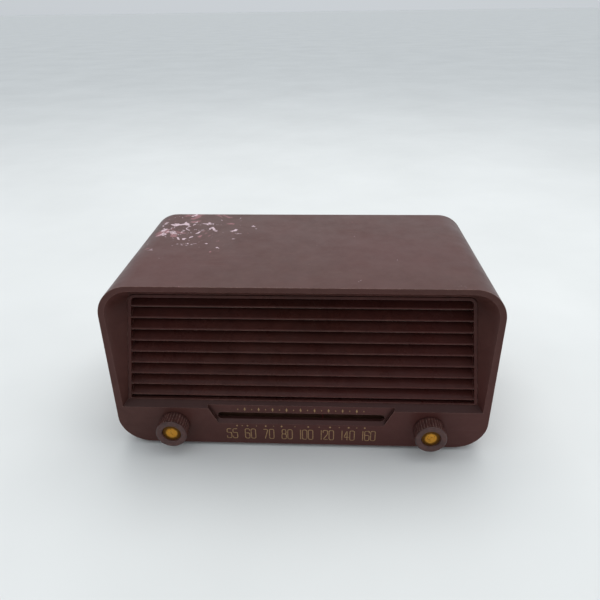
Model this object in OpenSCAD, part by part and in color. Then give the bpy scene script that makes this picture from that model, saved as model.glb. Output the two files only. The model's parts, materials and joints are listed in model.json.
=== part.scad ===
// Tabletop valve radio: moulded cabinet, louvred front, slide-rule dial and two knobs.
// X runs along the width, +Y from the front to the back, +Z up. Every y in a module is
// measured from the cabinet's front face, and every z from the table.

/* [Cabinet] */
// Width of the cabinet
body_w = 286; // [236:1:345]
// Height of the cabinet without its feet
body_h = 138; // [115:1:168]
// Depth of the cabinet
body_d = 153; // [126:1:186]
// Radius of the four long corners
corner_r = 24; // [20:0.5:30]
// Thickness of the moulded walls
wall = 3.2; // [2.6:0.1:4]
// Thickness of the front wall
front_wall = 3.5; // [3:0.1:4.5]
// Height of the rubber feet
foot_h = 3; // [2:0.5:8]
// Radius of the rubber feet
foot_r = 6.5; // [5:0.5:10]
// Distance of the feet from the ends of the flat underside
foot_inset = 11; // [8:0.5:20]

/* [Front mouth] */
// Width of the flat rim above the mouth and beside its top
rim_w = 4; // [3.5:0.1:6]
// Width of the flat rim beside the sill
rim_sill_w = 5.3; // [4.5:0.1:8]
// Height of the sill's front edge above the underside
sill_h = 34.2; // [33.8:0.1:36]
// Thickness of the sloping skin round the mouth
skin = 3; // [2.4:0.1:4]
// Depth of the narrow outer band of the mouth at its top
band_depth = 2.6; // [1.5:0.1:4]
// Depth of that band at the sill
band_depth_sill = 0.9; // [0.5:0.1:2]
// Inward step of that band at the sides
band_inset = 2.8; // [1:0.1:4]
// Downward step of that band under the top rim
band_drop = 1.9; // [1:0.1:3]

/* [Louvre panel] */
// Backward lean of the louvre panel, in degrees
lean = 8; // [4:0.5:9]
// Depth of the louvre panel's face at its foot
panel_depth = 5.5; // [5:0.1:6.5]
// Height of the louvre panel's foot above the underside
panel_foot_h = 38; // [37.5:0.1:40]
// Distance of the panel's top edge below the mouth's top edge
panel_drop = 10.5; // [9:0.1:14]
// Distance of the panel's lower corners from the cabinet's side
panel_inset_foot = 8.8; // [8:0.1:12]
// Distance of the panel's upper corners from the cabinet's side
panel_inset_top = 16.9; // [14:0.1:22]
// Radius of the panel's upper corners
panel_corner_r = 6; // [4:0.5:10]
// Width of the raised bead at the sides and top
bead_w = 2.6; // [2:0.1:4]
// Width of the raised bead along the foot
bead_foot_w = 1.3; // [1:0.1:2]
// Height of the bead above the panel's face
bead_h = 0.8; // [0.4:0.1:1.5]
// Depth of the panel's box frame
panel_box = 9.4; // [8.6:0.1:10]
// Distance from one louvre to the next, along the panel
slat_pitch = 9.08; // [8.2:0.01:11]
// Height of the lowest louvre's nose above the panel's foot
slat_first = 3.8; // [3:0.1:5]
// Thickness of a louvre's nose
slat_nose = 1.3; // [1:0.1:2]
// Rise of a louvre from nose to back
slat_rise = 6.6; // [5:0.1:7]
// Depth of a louvre
slat_depth = 8; // [6:0.1:8.2]
// Thickness of the grille cloth
cloth_t = 0.6; // [0.4:0.1:1]

/* [Dial] */
// Depth of the dial recess
recess_depth = 2.5; // [2:0.1:3]
// Distance of the recess's lower corners inside the slot's ends
recess_tuck = 0.9; // [0.4:0.1:3]
// Widening of the recess for each millimetre of height
recess_slope = 0.51; // [0.3:0.01:0.7]
// Height of the recess's lower edge above the underside
recess_h = 20.1; // [19:0.1:21]
// Height of the dial slot's lower edge above the underside
slot_h = 22.7; // [22:0.1:23.5]
// Height of the opening of the dial slot
slot_open = 6.2; // [5:0.1:6.8]
// Distance from a knob's centre to the near end of the slot
slot_to_knob = 33.7; // [30:0.1:36]
// Thickness of the wall behind the recess
dial_wall = 3; // [2.4:0.1:3.4]
// Height of the crease across the fascia above the underside
crease_h = 17.3; // [15:0.1:18]
// Backward lean of the fascia under the crease, at the underside
crease_depth = 0.8; // [0.2:0.1:1.2]
// Distance of the dial plate behind the front face
plate_y = 11; // [10.8:0.1:11.6]
// Thickness of the dial plate
plate_t = 1; // [0.8:0.1:1.4]
// Place of the pointer from the centre of the dial
pointer_x = 17; // [-20:0.5:30]
// Distance that the pointer keeps from the slot's ends
pointer_margin = 8.8; // [7:0.1:12]
// Width of the pointer's needle
needle_w = 1; // [0.6:0.1:2]

/* [Knobs and shafts] */
// Distance of a knob's centre from the cabinet's side
knob_inset = 44.5; // [42:0.5:48]
// Height of the shafts above the underside
shaft_h = 18.5; // [17.5:0.1:19]
// Radius of the knobs
knob_r = 12; // [10:0.5:14]
// Distance that the knobs stand out in front of the cabinet
knob_out = 13; // [11:0.5:18]
// Gap between a knob and the cabinet
knob_gap = 0.6; // [0.4:0.1:1.5]
// Radius of the brass disc in a knob
insert_r = 7; // [5:0.1:8]
// Depth of the disc's face below the knob's rim
insert_sink = 1.6; // [0.8:0.1:2.4]
// Thickness of the brass disc
insert_t = 1.2; // [0.8:0.1:1.6]
// Radius of the control shafts
shaft_r = 3.175; // [2.8:0.005:3.81]
// Depth of the flat on a control shaft
shaft_flat = 0.8; // [0.6:0.1:1.2]
// Radius of the threaded bushings
bushing_r = 4.7; // [4.3:0.1:5.4]
// Width of the bushing nuts across their corners
nut_w = 14; // [12.5:0.5:16]

/* [Chassis] */
// Distance of the chassis front behind the cabinet's front face
apron_y = 36; // [36:0.5:38]
// Height of the chassis deck above the cabinet's floor
deck_h = 31.3; // [30.9:0.1:33]
// Thickness of the chassis steel
sheet = 1.2; // [1:0.1:1.4]
// Distance of the chassis back from the cabinet's back edge
chassis_back_gap = 15; // [14:0.5:20]
// Distance of the chassis ends from the knob shafts
chassis_end = 19.5; // [17:0.5:21]
// Width of the chassis's turned-in bottom flanges
flange_w = 10; // [9:0.5:12]

/* [Speaker] */
// Gap above and below the speaker
speaker_gap = 1.15; // [0.6:0.05:2.5]
// Width of the speaker's mounting flange
speaker_flange = 3; // [2.5:0.1:4]
// Width of the flexible surround
surround_w = 4.4; // [3.6:0.1:5]
// Depth of the speaker basket
basket_depth = 24; // [20:0.5:28]
// Radius of the speaker's magnet yoke
yoke_r = 19; // [17:0.5:23]
// Depth of the magnet yoke
yoke_depth = 17; // [14:0.5:20]
// Inner radius of the voice coil
coil_r = 9.2; // [8:0.1:11]
// Gap between the voice coil and the magnet's poles
coil_gap = 0.4; // [0.3:0.05:0.8]

/* [Tuning drive] */
// Radius of the dial cord
cord_r = 0.4; // [0.3:0.05:0.5]
// Distance of the cord's long run behind the front face
run_y = 27; // [26.8:0.1:27.2]
// Distance of the left pulley's centre outside the slot's end
pulley_out = 13.2; // [11:0.1:16]
// Distance of the right pulley's centre outside the slot's end
pulley_out_right = 17.2; // [15:0.1:18]
// Radius of a pulley to the centre of its cord
pulley_r = 5.5; // [5:0.1:6]
// Height of the pulleys' centres above the underside
pulley_h = 32.5; // [32.3:0.1:32.8]
// Radius of the pulley pins
pin_r = 1.5; // [1.2:0.1:1.8]
// Distance of the gang's shaft above the deck
gang_h = 26.5; // [24:0.1:30]
// Radius of the gang's moving plates
rotor_r = 16.5; // [14:0.5:18]
// Number of moving plates in each section of the gang
rotor_plates = 6; // [4:1:7]
// Gap from the speaker baffle to the drum
drum_gap = 7.75; // [4:0.05:12]

/* [Valves and cans] */
// Radius of a valve's glass
valve_r = 9; // [8:0.5:9.5]
// Height of the two large valves
tall_valve_h = 56; // [48:1:66]
// Height of the three small valves
short_valve_h = 45; // [38:1:54]
// Width of an IF transformer can
can_w = 19; // [16:0.5:20]
// Height of an IF transformer can
can_h = 48; // [40:1:60]
// Radius of the filter capacitor
filter_r = 10.5; // [9:0.5:11]
// Height of the filter capacitor
filter_h = 52; // [40:1:62]

/* [Back] */
// Thickness of the fibreboard back
back_t = 2.4; // [1.6:0.1:3.2]
// Distance of the back's outer face inside the cabinet's back edge
back_sink = 3; // [2:0.1:5]
// Radius of the bosses for the back
boss_r = 6; // [5.2:0.1:7]
// Radius of the vent holes
vent_r = 3; // [2:0.1:3.4]
// Distance from one vent hole to the next
vent_pitch = 10; // [8:0.5:14]
// Distance between the mains inlet's pins
inlet_pitch = 12.7; // [10:0.1:16]
// Radius of the mains inlet's pins
inlet_pin_r = 1.2; // [1:0.05:1.6]

/* [Clearances] */
// Gap round a part that drops into another
fit_gap = 0.3; // [0.2:0.05:0.5]
// Radial gap of a turning shaft in its bearing
run_gap = 0.05; // [0.02:0.01:0.1]
// Gap between the cord and what turns beside it
cord_gap = 0.8; // [0.5:0.05:1]

/* [Hidden] */
$fn = 48;
thin = 0.02;

// Driving places of the cabinet
front_y = -(body_d - knob_out) / 2;
half_w = body_w / 2;
under_z = foot_h;
floor_z = under_z + wall;
roof_z = under_z + body_h - wall;
crease_z = under_z + crease_h;

// The mouth and the leaning louvre panel
sill_z = under_z + sill_h;
mouth_top_z = under_z + body_h - rim_w;
panel_z = under_z + panel_foot_h;
panel_top_z = mouth_top_z - panel_drop;
panel_s = (panel_top_z - panel_z) / cos(lean);
band_lean = atan((band_depth - band_depth_sill) / (mouth_top_z - sill_z));
slat_count = floor((panel_s - bead_w - slat_first - slat_rise) / slat_pitch) + 1;
seat_w = 3;
seat_t = 2.4;

// The dial
knob_x = half_w - knob_inset;
shaft_z = under_z + shaft_h;
slot_half = knob_x - slot_to_knob;
slot_z = under_z + slot_h;
slot_mid_z = slot_z + slot_open / 2;
recess_z = under_z + recess_h;
travel = 2 * (slot_half - pointer_margin);
plate_half = slot_half + 14;
plate_z0 = recess_z - 4;
plate_z1 = under_z + 34.3;
dial_boss_x = slot_half + 9.7;
dial_boss_r = 3.5;
dial_screw_r = 1.2;
needle_y = plate_y - 2;

// The chassis
deck_z = floor_z + deck_h;
chassis_half = knob_x + chassis_end;
chassis_back = body_d - chassis_back_gap;
chassis_mid_y = (apron_y + chassis_back) / 2;
lead_r = 0.5;
tag_gap = 0.1;
row_y = chassis_back - 18;
row_step = (2 * chassis_half - 36) / 7;
socket_r = 8;
socket_flange = 2.6;
valve_z = deck_z + socket_flange;
stem_t = 3;
shaft_tip = 9;

// The speaker stands between the deck and the roof
speaker_r = (roof_z - deck_z - 2 * speaker_gap) / 2;
speaker_side = 7;
speaker_x = speaker_side + speaker_r - chassis_half;
speaker_z = deck_z + speaker_gap + speaker_r;
baffle_y = apron_y - 6;
speaker_y = baffle_y + sheet;
ledge_y = speaker_y + 2.8;
ledge_r = speaker_r - speaker_flange;
cone_r = ledge_r - surround_w - 0.6;
basket_y = speaker_y + basket_depth;
coil_t = 0.6;
pole_r = coil_r - coil_gap;
ear_r = 4.5;
ear_at = speaker_r + 2;
screw_r = 1.6;

// The tuning drive: half a turn of the drum carries the pointer over its travel
drum_r = travel / PI;
drum_floor = drum_r - cord_r - cord_gap;
drum_flange = drum_r + 1.6;
drum_x = speaker_x + speaker_r + speaker_side - 2 + drum_gap + drum_flange;
drum_z = deck_z + gang_h;
drum_y0 = apron_y - 5.4;
drum_y1 = apron_y - 0.6;
rotor_rest = (pointer_x + travel / 2) / drum_r * 180 / PI;
gang_front = apron_y + 4;
gang_len = 42;
gang_wall = 1.5;
gang_left = 21;
gang_right = 19;
plate_thick = 0.6;
plate_step = 2.4;
pulley_z = under_z + pulley_h;
pulley_left_x = -slot_half - pulley_out;
pulley_right_x = slot_half + pulley_out_right;
pulley_half = 1.2;
strip_y = run_y + 2.2;

// The back
back_y1 = body_d - back_sink;
back_y0 = back_y1 - back_t;
boss_x = half_w - wall - 5.3;
boss_low_z = under_z + 37;
boss_high_z = roof_z - 34;
inlet_z = floor_z + 12;

// Dial cord: from the top of the drum round its right side, along to the left pulley,
// back over the long run to the right pulley, round the tuning shaft and home again.
cord_route = [
    [37, 32.4, 100], [47, 32.4, 98.5], [55, 32.4, 95], [62.5, 32.4, 89.5], [68, 32.4, 82],
    [71.5, 32.4, 74], [73, 32.4, 64], [71.5, 32.4, 54], [68, 32.4, 46], [62.5, 32.4, 38.5],
    [55, 32.4, 33], [47, 32.4, 29.5], [37, 32.4, 28], [20, 31.8, 28.2], [-20, 29.8, 28.8],
    [-60, 27.8, 29.6], [-74, 27.1, 29.9], [-78, 27, 30], [-81, 27, 31], [-83, 27, 33.5],
    [-83, 27, 37.5], [-81, 27, 40], [-78, 27, 41], [-40, 27, 41], [0, 27, 41], [40, 27, 41],
    [82, 27, 41], [84.5, 27.1, 40.4], [86, 27.2, 39.3], [94, 28.4, 32],
    [101.5, 29.6, 24.5], [102.5, 29.8, 21.5], [101.5, 30, 18.5], [98.5, 30.2, 17.5],
    [95.5, 30.4, 18.5], [94.5, 30.6, 21.5], [95.5, 30.8, 24.5], [98.5, 31, 25.5],
    [101.5, 31.2, 24.5], [102.5, 31.4, 21.5], [101.5, 31.6, 18.5], [98.5, 31.8, 17.5],
    [65, 32.6, 23], [40, 33.4, 27], [31, 33.6, 28.4], [24, 33.6, 30.5], [17, 33.6, 34],
    [11.5, 33.6, 38.5], [6, 33.6, 46], [2.5, 33.6, 54], [1, 33.6, 64], [2.5, 33.6, 74],
    [6, 33.6, 82], [11.5, 33.6, 89.5], [19, 33.6, 95], [27, 33.6, 98.5], [37, 33.6, 100]
];
cord_sides = 8;

// ---------- Helpers ----------

// Moves a part from the cabinet's front face to the model's origin
module place() { translate([0, front_y, 0]) children(); }

// Extrudes an x-z outline from y0 to y1
module along_y(y0, y1) { translate([0, y1, 0]) rotate([90, 0, 0]) linear_extrude(y1 - y0) children(); }

// Extrudes a y-z outline over a width centred on x = 0
module along_x(width) { rotate([90, 0, 90]) linear_extrude(width, center = true) children(); }

// A round bar along y
module bar_y(r, y0, y1, x = 0, z = 0) {
    translate([x, y0, z]) rotate([-90, 0, 0]) cylinder(r = r, h = y1 - y0);
}

// A box from its lowest corner to its highest
module block(low, high) { translate(low) cube(high - low); }

// Turns an outline of radius and y about the y axis
module turned_y(x, y, z) { translate([x, y, z]) rotate([-90, 0, 0]) rotate_extrude() children(); }

// The louvre panel's own frame: y out of its back, z up along it
module on_panel() { translate([0, panel_depth, panel_z]) rotate([-lean, 0, 0]) children(); }

function unit(v) = v / norm(v);

// One rounded corner at b of an outline that runs anticlockwise through a, b and c
function corner(a, b, c, r, n) =
    r <= 0 ? [b] :
    let (u = unit(a - b), w = unit(c - b), half = acos(u * w) / 2,
         centre = b + unit(u + w) * r / sin(half),
         start = b + u * r / tan(half) - centre,
         from = atan2(start.y, start.x))
    [for (i = [0:n]) let (t = from + (180 - 2 * half) * i / n) centre + r * [cos(t), sin(t)]];

function rounded(points, radii, n = 10) =
    let (count = len(points))
    [for (i = [0:count - 1])
        each corner(points[(i + count - 1) % count], points[i], points[(i + 1) % count], radii[i], n)];

// A four-sided outline, wider or narrower at its top, with its own corner radii
function trapezium(half_low, half_high, z_low, z_high, r_low, r_high) =
    rounded([[-half_low, z_low], [half_low, z_low], [half_high, z_high], [-half_high, z_high]],
            [r_low, r_low, r_high, r_high]);

function mouth_outline(grow) = trapezium(half_w - rim_sill_w + grow, half_w - rim_w + grow,
    sill_z - grow, mouth_top_z + grow, 0, corner_r - rim_w + grow);

function band_outline() = trapezium(half_w - rim_sill_w - band_inset / 4, half_w - rim_w - band_inset,
    band_inset / 4, mouth_top_z - sill_z - band_drop, 0, corner_r - rim_w - band_drop);

function panel_outline(grow, foot = 0) = trapezium(half_w - panel_inset_foot + grow,
    half_w - panel_inset_top + grow, foot - grow, panel_s + grow, 0, panel_corner_r + grow);

// The cabinet's section, inset all round
module body_section(inset) {
    w = half_w - inset;
    low = under_z + inset;
    high = under_z + body_h - inset;
    r = corner_r - inset;
    translate([-w, low + r]) square([2 * w, high - low - 2 * r]);
    translate([r - w, low]) square([2 * (w - r), high - low]);
    for (x = [r - w, w - r], z = [low + r, high - r]) translate([x, z]) circle(r);
}

// ---------- Cabinet ----------

module mouth_skin() {
    hull() {
        along_y(0, thin) polygon(mouth_outline(skin));
        on_panel() along_y(-thin, 0) polygon(panel_outline(skin));
    }
}

module mouth_hole() {
    module band() {
        translate([0, band_depth_sill, sill_z]) rotate([-band_lean, 0, 0])
            along_y(0, thin) polygon(band_outline());
    }
    hull() {
        along_y(-0.5, 0) polygon(mouth_outline(0));
        band();
    }
    hull() {
        band();
        on_panel() along_y(0, thin) polygon(panel_outline(0));
    }
}

// The dial recess is a shallow trapezium with a sloping lower edge
module dial_recess() {
    top_z = sill_z + 4;
    half_low = slot_half - recess_tuck;
    function half_at(z) = half_low + recess_slope * (z - recess_z);
    hull() {
        along_y(-thin, 0)
            polygon(trapezium(half_low, half_at(top_z), recess_z, top_z, 0, 0));
        along_y(recess_depth, recess_depth + thin)
            polygon(trapezium(half_at(slot_z), half_at(top_z), slot_z, top_z, 0, 0));
    }
}

module dial_slot() {
    r = slot_open / 2;
    along_y(recess_depth - 1, recess_depth + dial_wall + 1) {
        translate([r - slot_half, slot_z]) square([2 * (slot_half - r), slot_open]);
        for (x = [r - slot_half, slot_half - r]) translate([x, slot_mid_z]) circle(r);
    }
}

module dial_backing() {
    along_y(front_wall - 0.1, recess_depth + dial_wall)
        polygon(trapezium(slot_half + 4, slot_half + 9, recess_z - 2.5, sill_z - 0.7, 0, 0));
    for (side = [-1, 1])
        bar_y(dial_boss_r, front_wall - 0.1, plate_y, side * dial_boss_x, slot_mid_z);
}

module back_boss_places() {
    for (side = [-1, 1], z = [boss_low_z, boss_high_z]) translate([side * boss_x, 0, z]) children();
}

module chassis_screw_places() {
    for (side = [-1, 1], y = [apron_y + sheet + flange_w / 2, chassis_back - sheet - flange_w / 2])
        translate([side * chassis_half / 2, y, 0]) children();
}

module cabinet() color("#4a3330") place() difference() {
    union() {
        difference() {
            along_y(0, body_d) body_section(0);
            along_y(front_wall, body_d + 1) body_section(wall);
        }
        mouth_skin();
        dial_backing();
        back_boss_places() bar_y(boss_r, back_y0 - 14, back_y0);
    }
    mouth_hole();
    dial_recess();
    dial_slot();
    along_x(body_w + 2)
        polygon([[-1, crease_z], [0, crease_z], [crease_depth, under_z - 1], [-1, under_z - 1]]);
    for (side = [-1, 1]) {
        bar_y(shaft_r + 2, -1, front_wall + 1, side * knob_x, shaft_z);
        bar_y(dial_screw_r, plate_y - 6, plate_y + 1, side * dial_boss_x, slot_mid_z);
    }
    back_boss_places() bar_y(screw_r, back_y0 - 10, back_y0 + 1);
    chassis_screw_places() translate([0, 0, under_z - 1]) cylinder(r = screw_r + 0.4, h = wall + 2);
}

module louvre_grille() color("#35201d") place() on_panel() {
    inner = panel_outline(-bead_w, bead_foot_w - bead_w);
    difference() {
        union() {
            along_y(-bead_h, panel_box) polygon(panel_outline(-fit_gap));
            along_y(0, seat_t) polygon(panel_outline(seat_w));
        }
        along_y(-bead_h - 1, panel_box + 1) polygon(inner);
    }
    intersection() {
        along_y(-1, panel_box) polygon(panel_outline(-bead_w / 2, 0));
        for (i = [0:slat_count - 1]) translate([0, 0, slat_first + i * slat_pitch]) along_x(body_w)
            polygon([[0, 0], [slat_depth, slat_rise - slat_nose],
                     [slat_depth - slat_nose, slat_rise], [0, slat_nose]]);
    }
}

module grille_cloth() color("#2b2420") place() on_panel()
    along_y(panel_box, panel_box + cloth_t) polygon(panel_outline(-1));

module rubber_feet() color("#1c1b1a") place()
    for (side = [-1, 1], y = [20, body_d - 20])
        translate([side * (half_w - corner_r - foot_inset), y, 0]) cylinder(r = foot_r, h = foot_h);

// ---------- Back ----------

module back_panel() color("#5b4632") place() difference() {
    along_y(back_y0, back_y1) body_section(wall + fit_gap);
    back_boss_places() bar_y(screw_r + 0.4, back_y0 - 1, back_y1 + 1);
    block([-18, back_y0 - 1, inlet_z - 8], [18, back_y1 + 1, inlet_z + 8]);
    columns = floor((half_w - 40) / vent_pitch);
    rows = floor((roof_z - boss_low_z - 24) / (2 * vent_pitch));
    for (i = [-columns:columns], j = [0:rows])
        bar_y(vent_r, back_y0 - 1, back_y1 + 1, i * vent_pitch, roof_z - 16 - 2 * j * vent_pitch);
}

module back_screws() color("#8d8a82") place() back_boss_places() {
    bar_y(screw_r, back_y0 - 8, back_y1);
    difference() {
        bar_y(screw_r * 2, back_y1, back_y1 + 1.8);
        block([-screw_r * 2, back_y1 + 1, -0.4], [screw_r * 2, back_y1 + 2, 0.4]);
    }
}

module loop_antenna() color("#7a4a2a") place() {
    outer_x = half_w - 38;
    high = roof_z - 10;
    low = boss_low_z + 8;
    turn_w = 8;
    along_y(back_y0 - 1.4, back_y0) difference() {
        polygon(trapezium(outer_x, outer_x, low, high, 12, 12));
        polygon(trapezium(outer_x - turn_w, outer_x - turn_w, low + turn_w, high - turn_w, 6, 6));
    }
}

module ac_inlet() color("#3a2a20") place() {
    block([-15, chassis_back, inlet_z - 6.5], [15, chassis_back + 3, inlet_z + 6.5]);
    block([-inlet_pitch / 2 - 4, chassis_back + 3, inlet_z - 5],
          [inlet_pitch / 2 + 4, chassis_back + 5.5, inlet_z + 5]);
}

module ac_inlet_pins() color("#c9a95a") place()
    for (side = [-1, 1])
        bar_y(inlet_pin_r, chassis_back + 5.5, body_d - 0.8, side * inlet_pitch / 2, inlet_z);

// ---------- Dial ----------

module dial_plate() color("#5a4a36") place() difference() {
    block([-plate_half, plate_y, plate_z0], [plate_half, plate_y + plate_t, plate_z1]);
    for (side = [-1, 1])
        bar_y(dial_screw_r + 0.2, plate_y - 1, plate_y + 3, side * dial_boss_x, slot_mid_z);
}

module dial_plate_screws() color("#8d8a82") place()
    for (side = [-1, 1]) {
        bar_y(dial_screw_r, plate_y - 4, plate_y + plate_t, side * dial_boss_x, slot_mid_z);
        bar_y(dial_screw_r * 2, plate_y + plate_t, plate_y + plate_t + 1.4,
              side * dial_boss_x, slot_mid_z);
    }

// A needle, a saddle over the dial plate's top edge, and a tongue with a clip on the cord
module dial_pointer() color("#7c2a22") place() translate([pointer_x, 0, 0]) {
    strip = 0.6;
    saddle = 5;
    tongue = 1.5;
    top_z = plate_z1 + 1.5;
    clip_z = pulley_z + pulley_r + cord_r + 1.1;
    behind = plate_y + plate_t + 1.2;
    clip_y = run_y - cord_r - 1;
    block([-needle_w / 2, needle_y, plate_z0 + 1.4], [needle_w / 2, needle_y + strip, top_z]);
    block([-saddle, needle_y, top_z - 1.6], [saddle, needle_y + strip, top_z]);
    block([-saddle, needle_y, top_z - strip], [saddle, behind + strip, top_z]);
    block([-saddle, behind, top_z - 6], [saddle, behind + strip, top_z]);
    block([-tongue, behind, top_z - strip], [tongue, clip_y + strip, top_z]);
    block([-tongue, clip_y, top_z - strip], [tongue, clip_y + strip, clip_z]);
    block([-tongue, clip_y, clip_z - strip], [tongue, run_y + cord_r + 1.2, clip_z]);
}

// The cord is a tube swept along its route, with rings that keep their twist
function tangent(p, i) = unit(
    i == 0 ? p[1] - p[0] :
    i == len(p) - 1 ? p[i] - p[i - 1] :
    unit(p[i + 1] - p[i]) + unit(p[i] - p[i - 1]));

function carried(normal, along) = unit(normal - along * (normal * along));

function normals(p, i = 0, last = [0, 1, 0]) =
    i == len(p) ? [] :
    let (n = carried(last, tangent(p, i))) concat([n], normals(p, i + 1, n));

module swept_tube(p, r, sides) {
    n = normals(p);
    rings = [for (i = [0:len(p) - 1]) let (side = cross(tangent(p, i), n[i]))
        for (k = [0:sides - 1]) p[i] + r * (cos(360 * k / sides) * n[i] + sin(360 * k / sides) * side)];
    last = (len(p) - 1) * sides;
    walls = [for (i = [0:len(p) - 2], k = [0:sides - 1]) let (m = (k + 1) % sides, a = i * sides)
        [a + k, a + k + sides, a + m + sides, a + m]];
    first_cap = [for (k = [0:sides - 1]) k];
    last_cap = [for (k = [sides - 1:-1:0]) last + k];
    polyhedron(rings, concat([first_cap], [last_cap], walls));
}

module dial_cord() color("#b8aa88") place() swept_tube(cord_route, cord_r, cord_sides);

module pulley_bracket() color("#9a9890") place() {
    low = pulley_z - 2.8;
    high = pulley_z + 1.8;
    left = pulley_left_x - 6;
    right = pulley_right_x + 8;
    difference() {
        block([left, strip_y, low], [right, strip_y + 1, high]);
        for (x = [pulley_left_x, pulley_right_x]) bar_y(pin_r, strip_y - 1, strip_y + 2, x, pulley_z);
    }
    block([left, strip_y, low], [left + sheet, apron_y, high]);
    block([right - sheet, strip_y, low], [right, apron_y, high]);
}

module pulley_pins() color("#c9c6bd") place()
    for (x = [pulley_left_x, pulley_right_x]) {
        bar_y(pin_r, run_y - pulley_half - 0.4, strip_y + 1, x, pulley_z);
        bar_y(pin_r * 1.8, run_y - pulley_half - 1.2, run_y - pulley_half - 0.4, x, pulley_z);
    }

module idler_pulley(x) {
    groove = pulley_r - cord_r - cord_gap;
    flange = pulley_r + 1;
    place() turned_y(x, run_y, pulley_z)
        polygon([[pin_r + run_gap, -pulley_half], [flange, -pulley_half], [flange, 0.3 - pulley_half],
                 [groove, -0.7], [groove, 0.7], [flange, pulley_half - 0.3],
                 [flange, pulley_half], [pin_r + run_gap, pulley_half]]);
}

module idler_pulley_left() color("#d8cfb8") idler_pulley(pulley_left_x);
module idler_pulley_right() color("#d8cfb8") idler_pulley(pulley_right_x);

// ---------- Chassis ----------

module row_place(i) { translate([18 - chassis_half + i * row_step, row_y, 0]) children(); }

module valve_places() { for (i = [0, 1, 3, 5, 7]) row_place(i) children(); }

module chassis() color("#9a9890") place() difference() {
    union() {
        block([-chassis_half, apron_y, deck_z - sheet], [chassis_half, chassis_back, deck_z]);
        block([-chassis_half, apron_y, floor_z], [chassis_half, apron_y + sheet, deck_z]);
        block([-chassis_half, chassis_back - sheet, floor_z], [chassis_half, chassis_back, deck_z]);
        block([-chassis_half, apron_y, floor_z],
              [chassis_half, apron_y + sheet + flange_w, floor_z + sheet]);
        block([-chassis_half, chassis_back - sheet - flange_w, floor_z],
              [chassis_half, chassis_back, floor_z + sheet]);
    }
    for (side = [-1, 1]) bar_y(bushing_r, apron_y - 1, apron_y + 3, side * knob_x, shaft_z);
    valve_places() translate([0, 0, deck_z - 3]) cylinder(r = socket_r, h = 6);
    chassis_screw_places() translate([0, 0, floor_z - 1]) cylinder(r = screw_r, h = 4);
}

module chassis_screws() color("#8d8a82") place() chassis_screw_places() {
    translate([0, 0, under_z]) cylinder(r = screw_r, h = wall + sheet + 2);
    translate([0, 0, under_z - 1.8]) cylinder(r = screw_r * 2.2, h = 1.8);
}

module bushing_nuts() color("#b9b5aa") place()
    for (side = [-1, 1]) difference() {
        translate([side * knob_x, apron_y - 2.4, shaft_z]) rotate([-90, 0, 0])
            cylinder(d = nut_w, h = 2.4, $fn = 6);
        bar_y(bushing_r, apron_y - 3, apron_y + 1, side * knob_x, shaft_z);
    }

module bushing_bore(y0, y1, x) { bar_y(shaft_r + run_gap, y0, y1, x, shaft_z); }

module tuning_bushing() color("#b08d4a") place() difference() {
    union() {
        bar_y(bushing_r, apron_y - 3, apron_y + 10, knob_x, shaft_z);
        bar_y(bushing_r + 2.5, apron_y + sheet, apron_y + sheet + 2, knob_x, shaft_z);
    }
    bushing_bore(apron_y - 4, apron_y + 11, knob_x);
}

// ---------- Knobs and shafts ----------

// A control shaft with the flat that its knob's spring bears on
module control_shaft(x, y_end) {
    difference() {
        bar_y(shaft_r, -shaft_tip, y_end, x, shaft_z);
        block([x - shaft_r - 1, -shaft_tip - 1, shaft_z + shaft_r - shaft_flat],
              [x + shaft_r + 1, 2, shaft_z + shaft_r + 1]);
    }
}

module tuning_shaft() color("#b9b5aa") place() control_shaft(knob_x, apron_y + 14);
module volume_shaft() color("#b9b5aa") place() control_shaft(-knob_x, apron_y + 10);

module tuning_shaft_clip() color("#6f6d68") place() difference() {
    bar_y(shaft_r + 2, apron_y + 10.2, apron_y + 11.2, knob_x, shaft_z);
    bar_y(shaft_r, apron_y + 10, apron_y + 12, knob_x, shaft_z);
}

// The knob's face is a wide rim round a sunken disc
module knob(x) {
    place() difference() {
        turned_y(x, -knob_out, shaft_z)
            polygon([[0, 0], [knob_r - 1.4, 0], [knob_r - 0.4, 0.35], [knob_r, 1.2],
                     [knob_r - 0.3, knob_out - knob_gap], [0, knob_out - knob_gap]]);
        bar_y(insert_r, -knob_out - 1, insert_sink + insert_t - knob_out, x, shaft_z);
        bar_y(shaft_r, -shaft_tip, 1, x, shaft_z);
    }
}

module tuning_knob() color("#4a322c") knob(knob_x);
module volume_knob() color("#4a322c") knob(-knob_x);

module knob_insert(x) {
    back = insert_sink + insert_t - knob_out;
    place() turned_y(x, back, shaft_z)
        polygon([[0, 0], [insert_r, 0], [insert_r, -insert_t * 0.5], [insert_r * 0.8, -insert_t * 0.7],
                 [insert_r * 0.4, -insert_t * 0.93], [0, -insert_t]]);
}

module tuning_knob_insert() color("#b8791e") knob_insert(knob_x);
module volume_knob_insert() color("#b8791e") knob_insert(-knob_x);

module knob_spring(x) {
    flat_z = shaft_z + shaft_r - shaft_flat;
    place() block([x - 1.4, -shaft_tip + 0.5, flat_z], [x + 1.4, -knob_gap - 1, flat_z + 0.4]);
}

module tuning_knob_spring() color("#8f9297") knob_spring(knob_x);
module volume_knob_spring() color("#8f9297") knob_spring(-knob_x);

module volume_pot() color("#8a8478") place() difference() {
    union() {
        bar_y(bushing_r, apron_y - 3, apron_y + sheet, -knob_x, shaft_z);
        bar_y(11.5, apron_y + sheet, apron_y + 12, -knob_x, shaft_z);
        for (side = [-1, 0, 1]) block([side * 6 - knob_x - 1.2, apron_y + 4, floor_z + sheet + tag_gap],
                                      [side * 6 - knob_x + 1.2, apron_y + 5, shaft_z - 8]);
    }
    bushing_bore(apron_y - 4, apron_y + 10.5, -knob_x);
}

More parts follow.
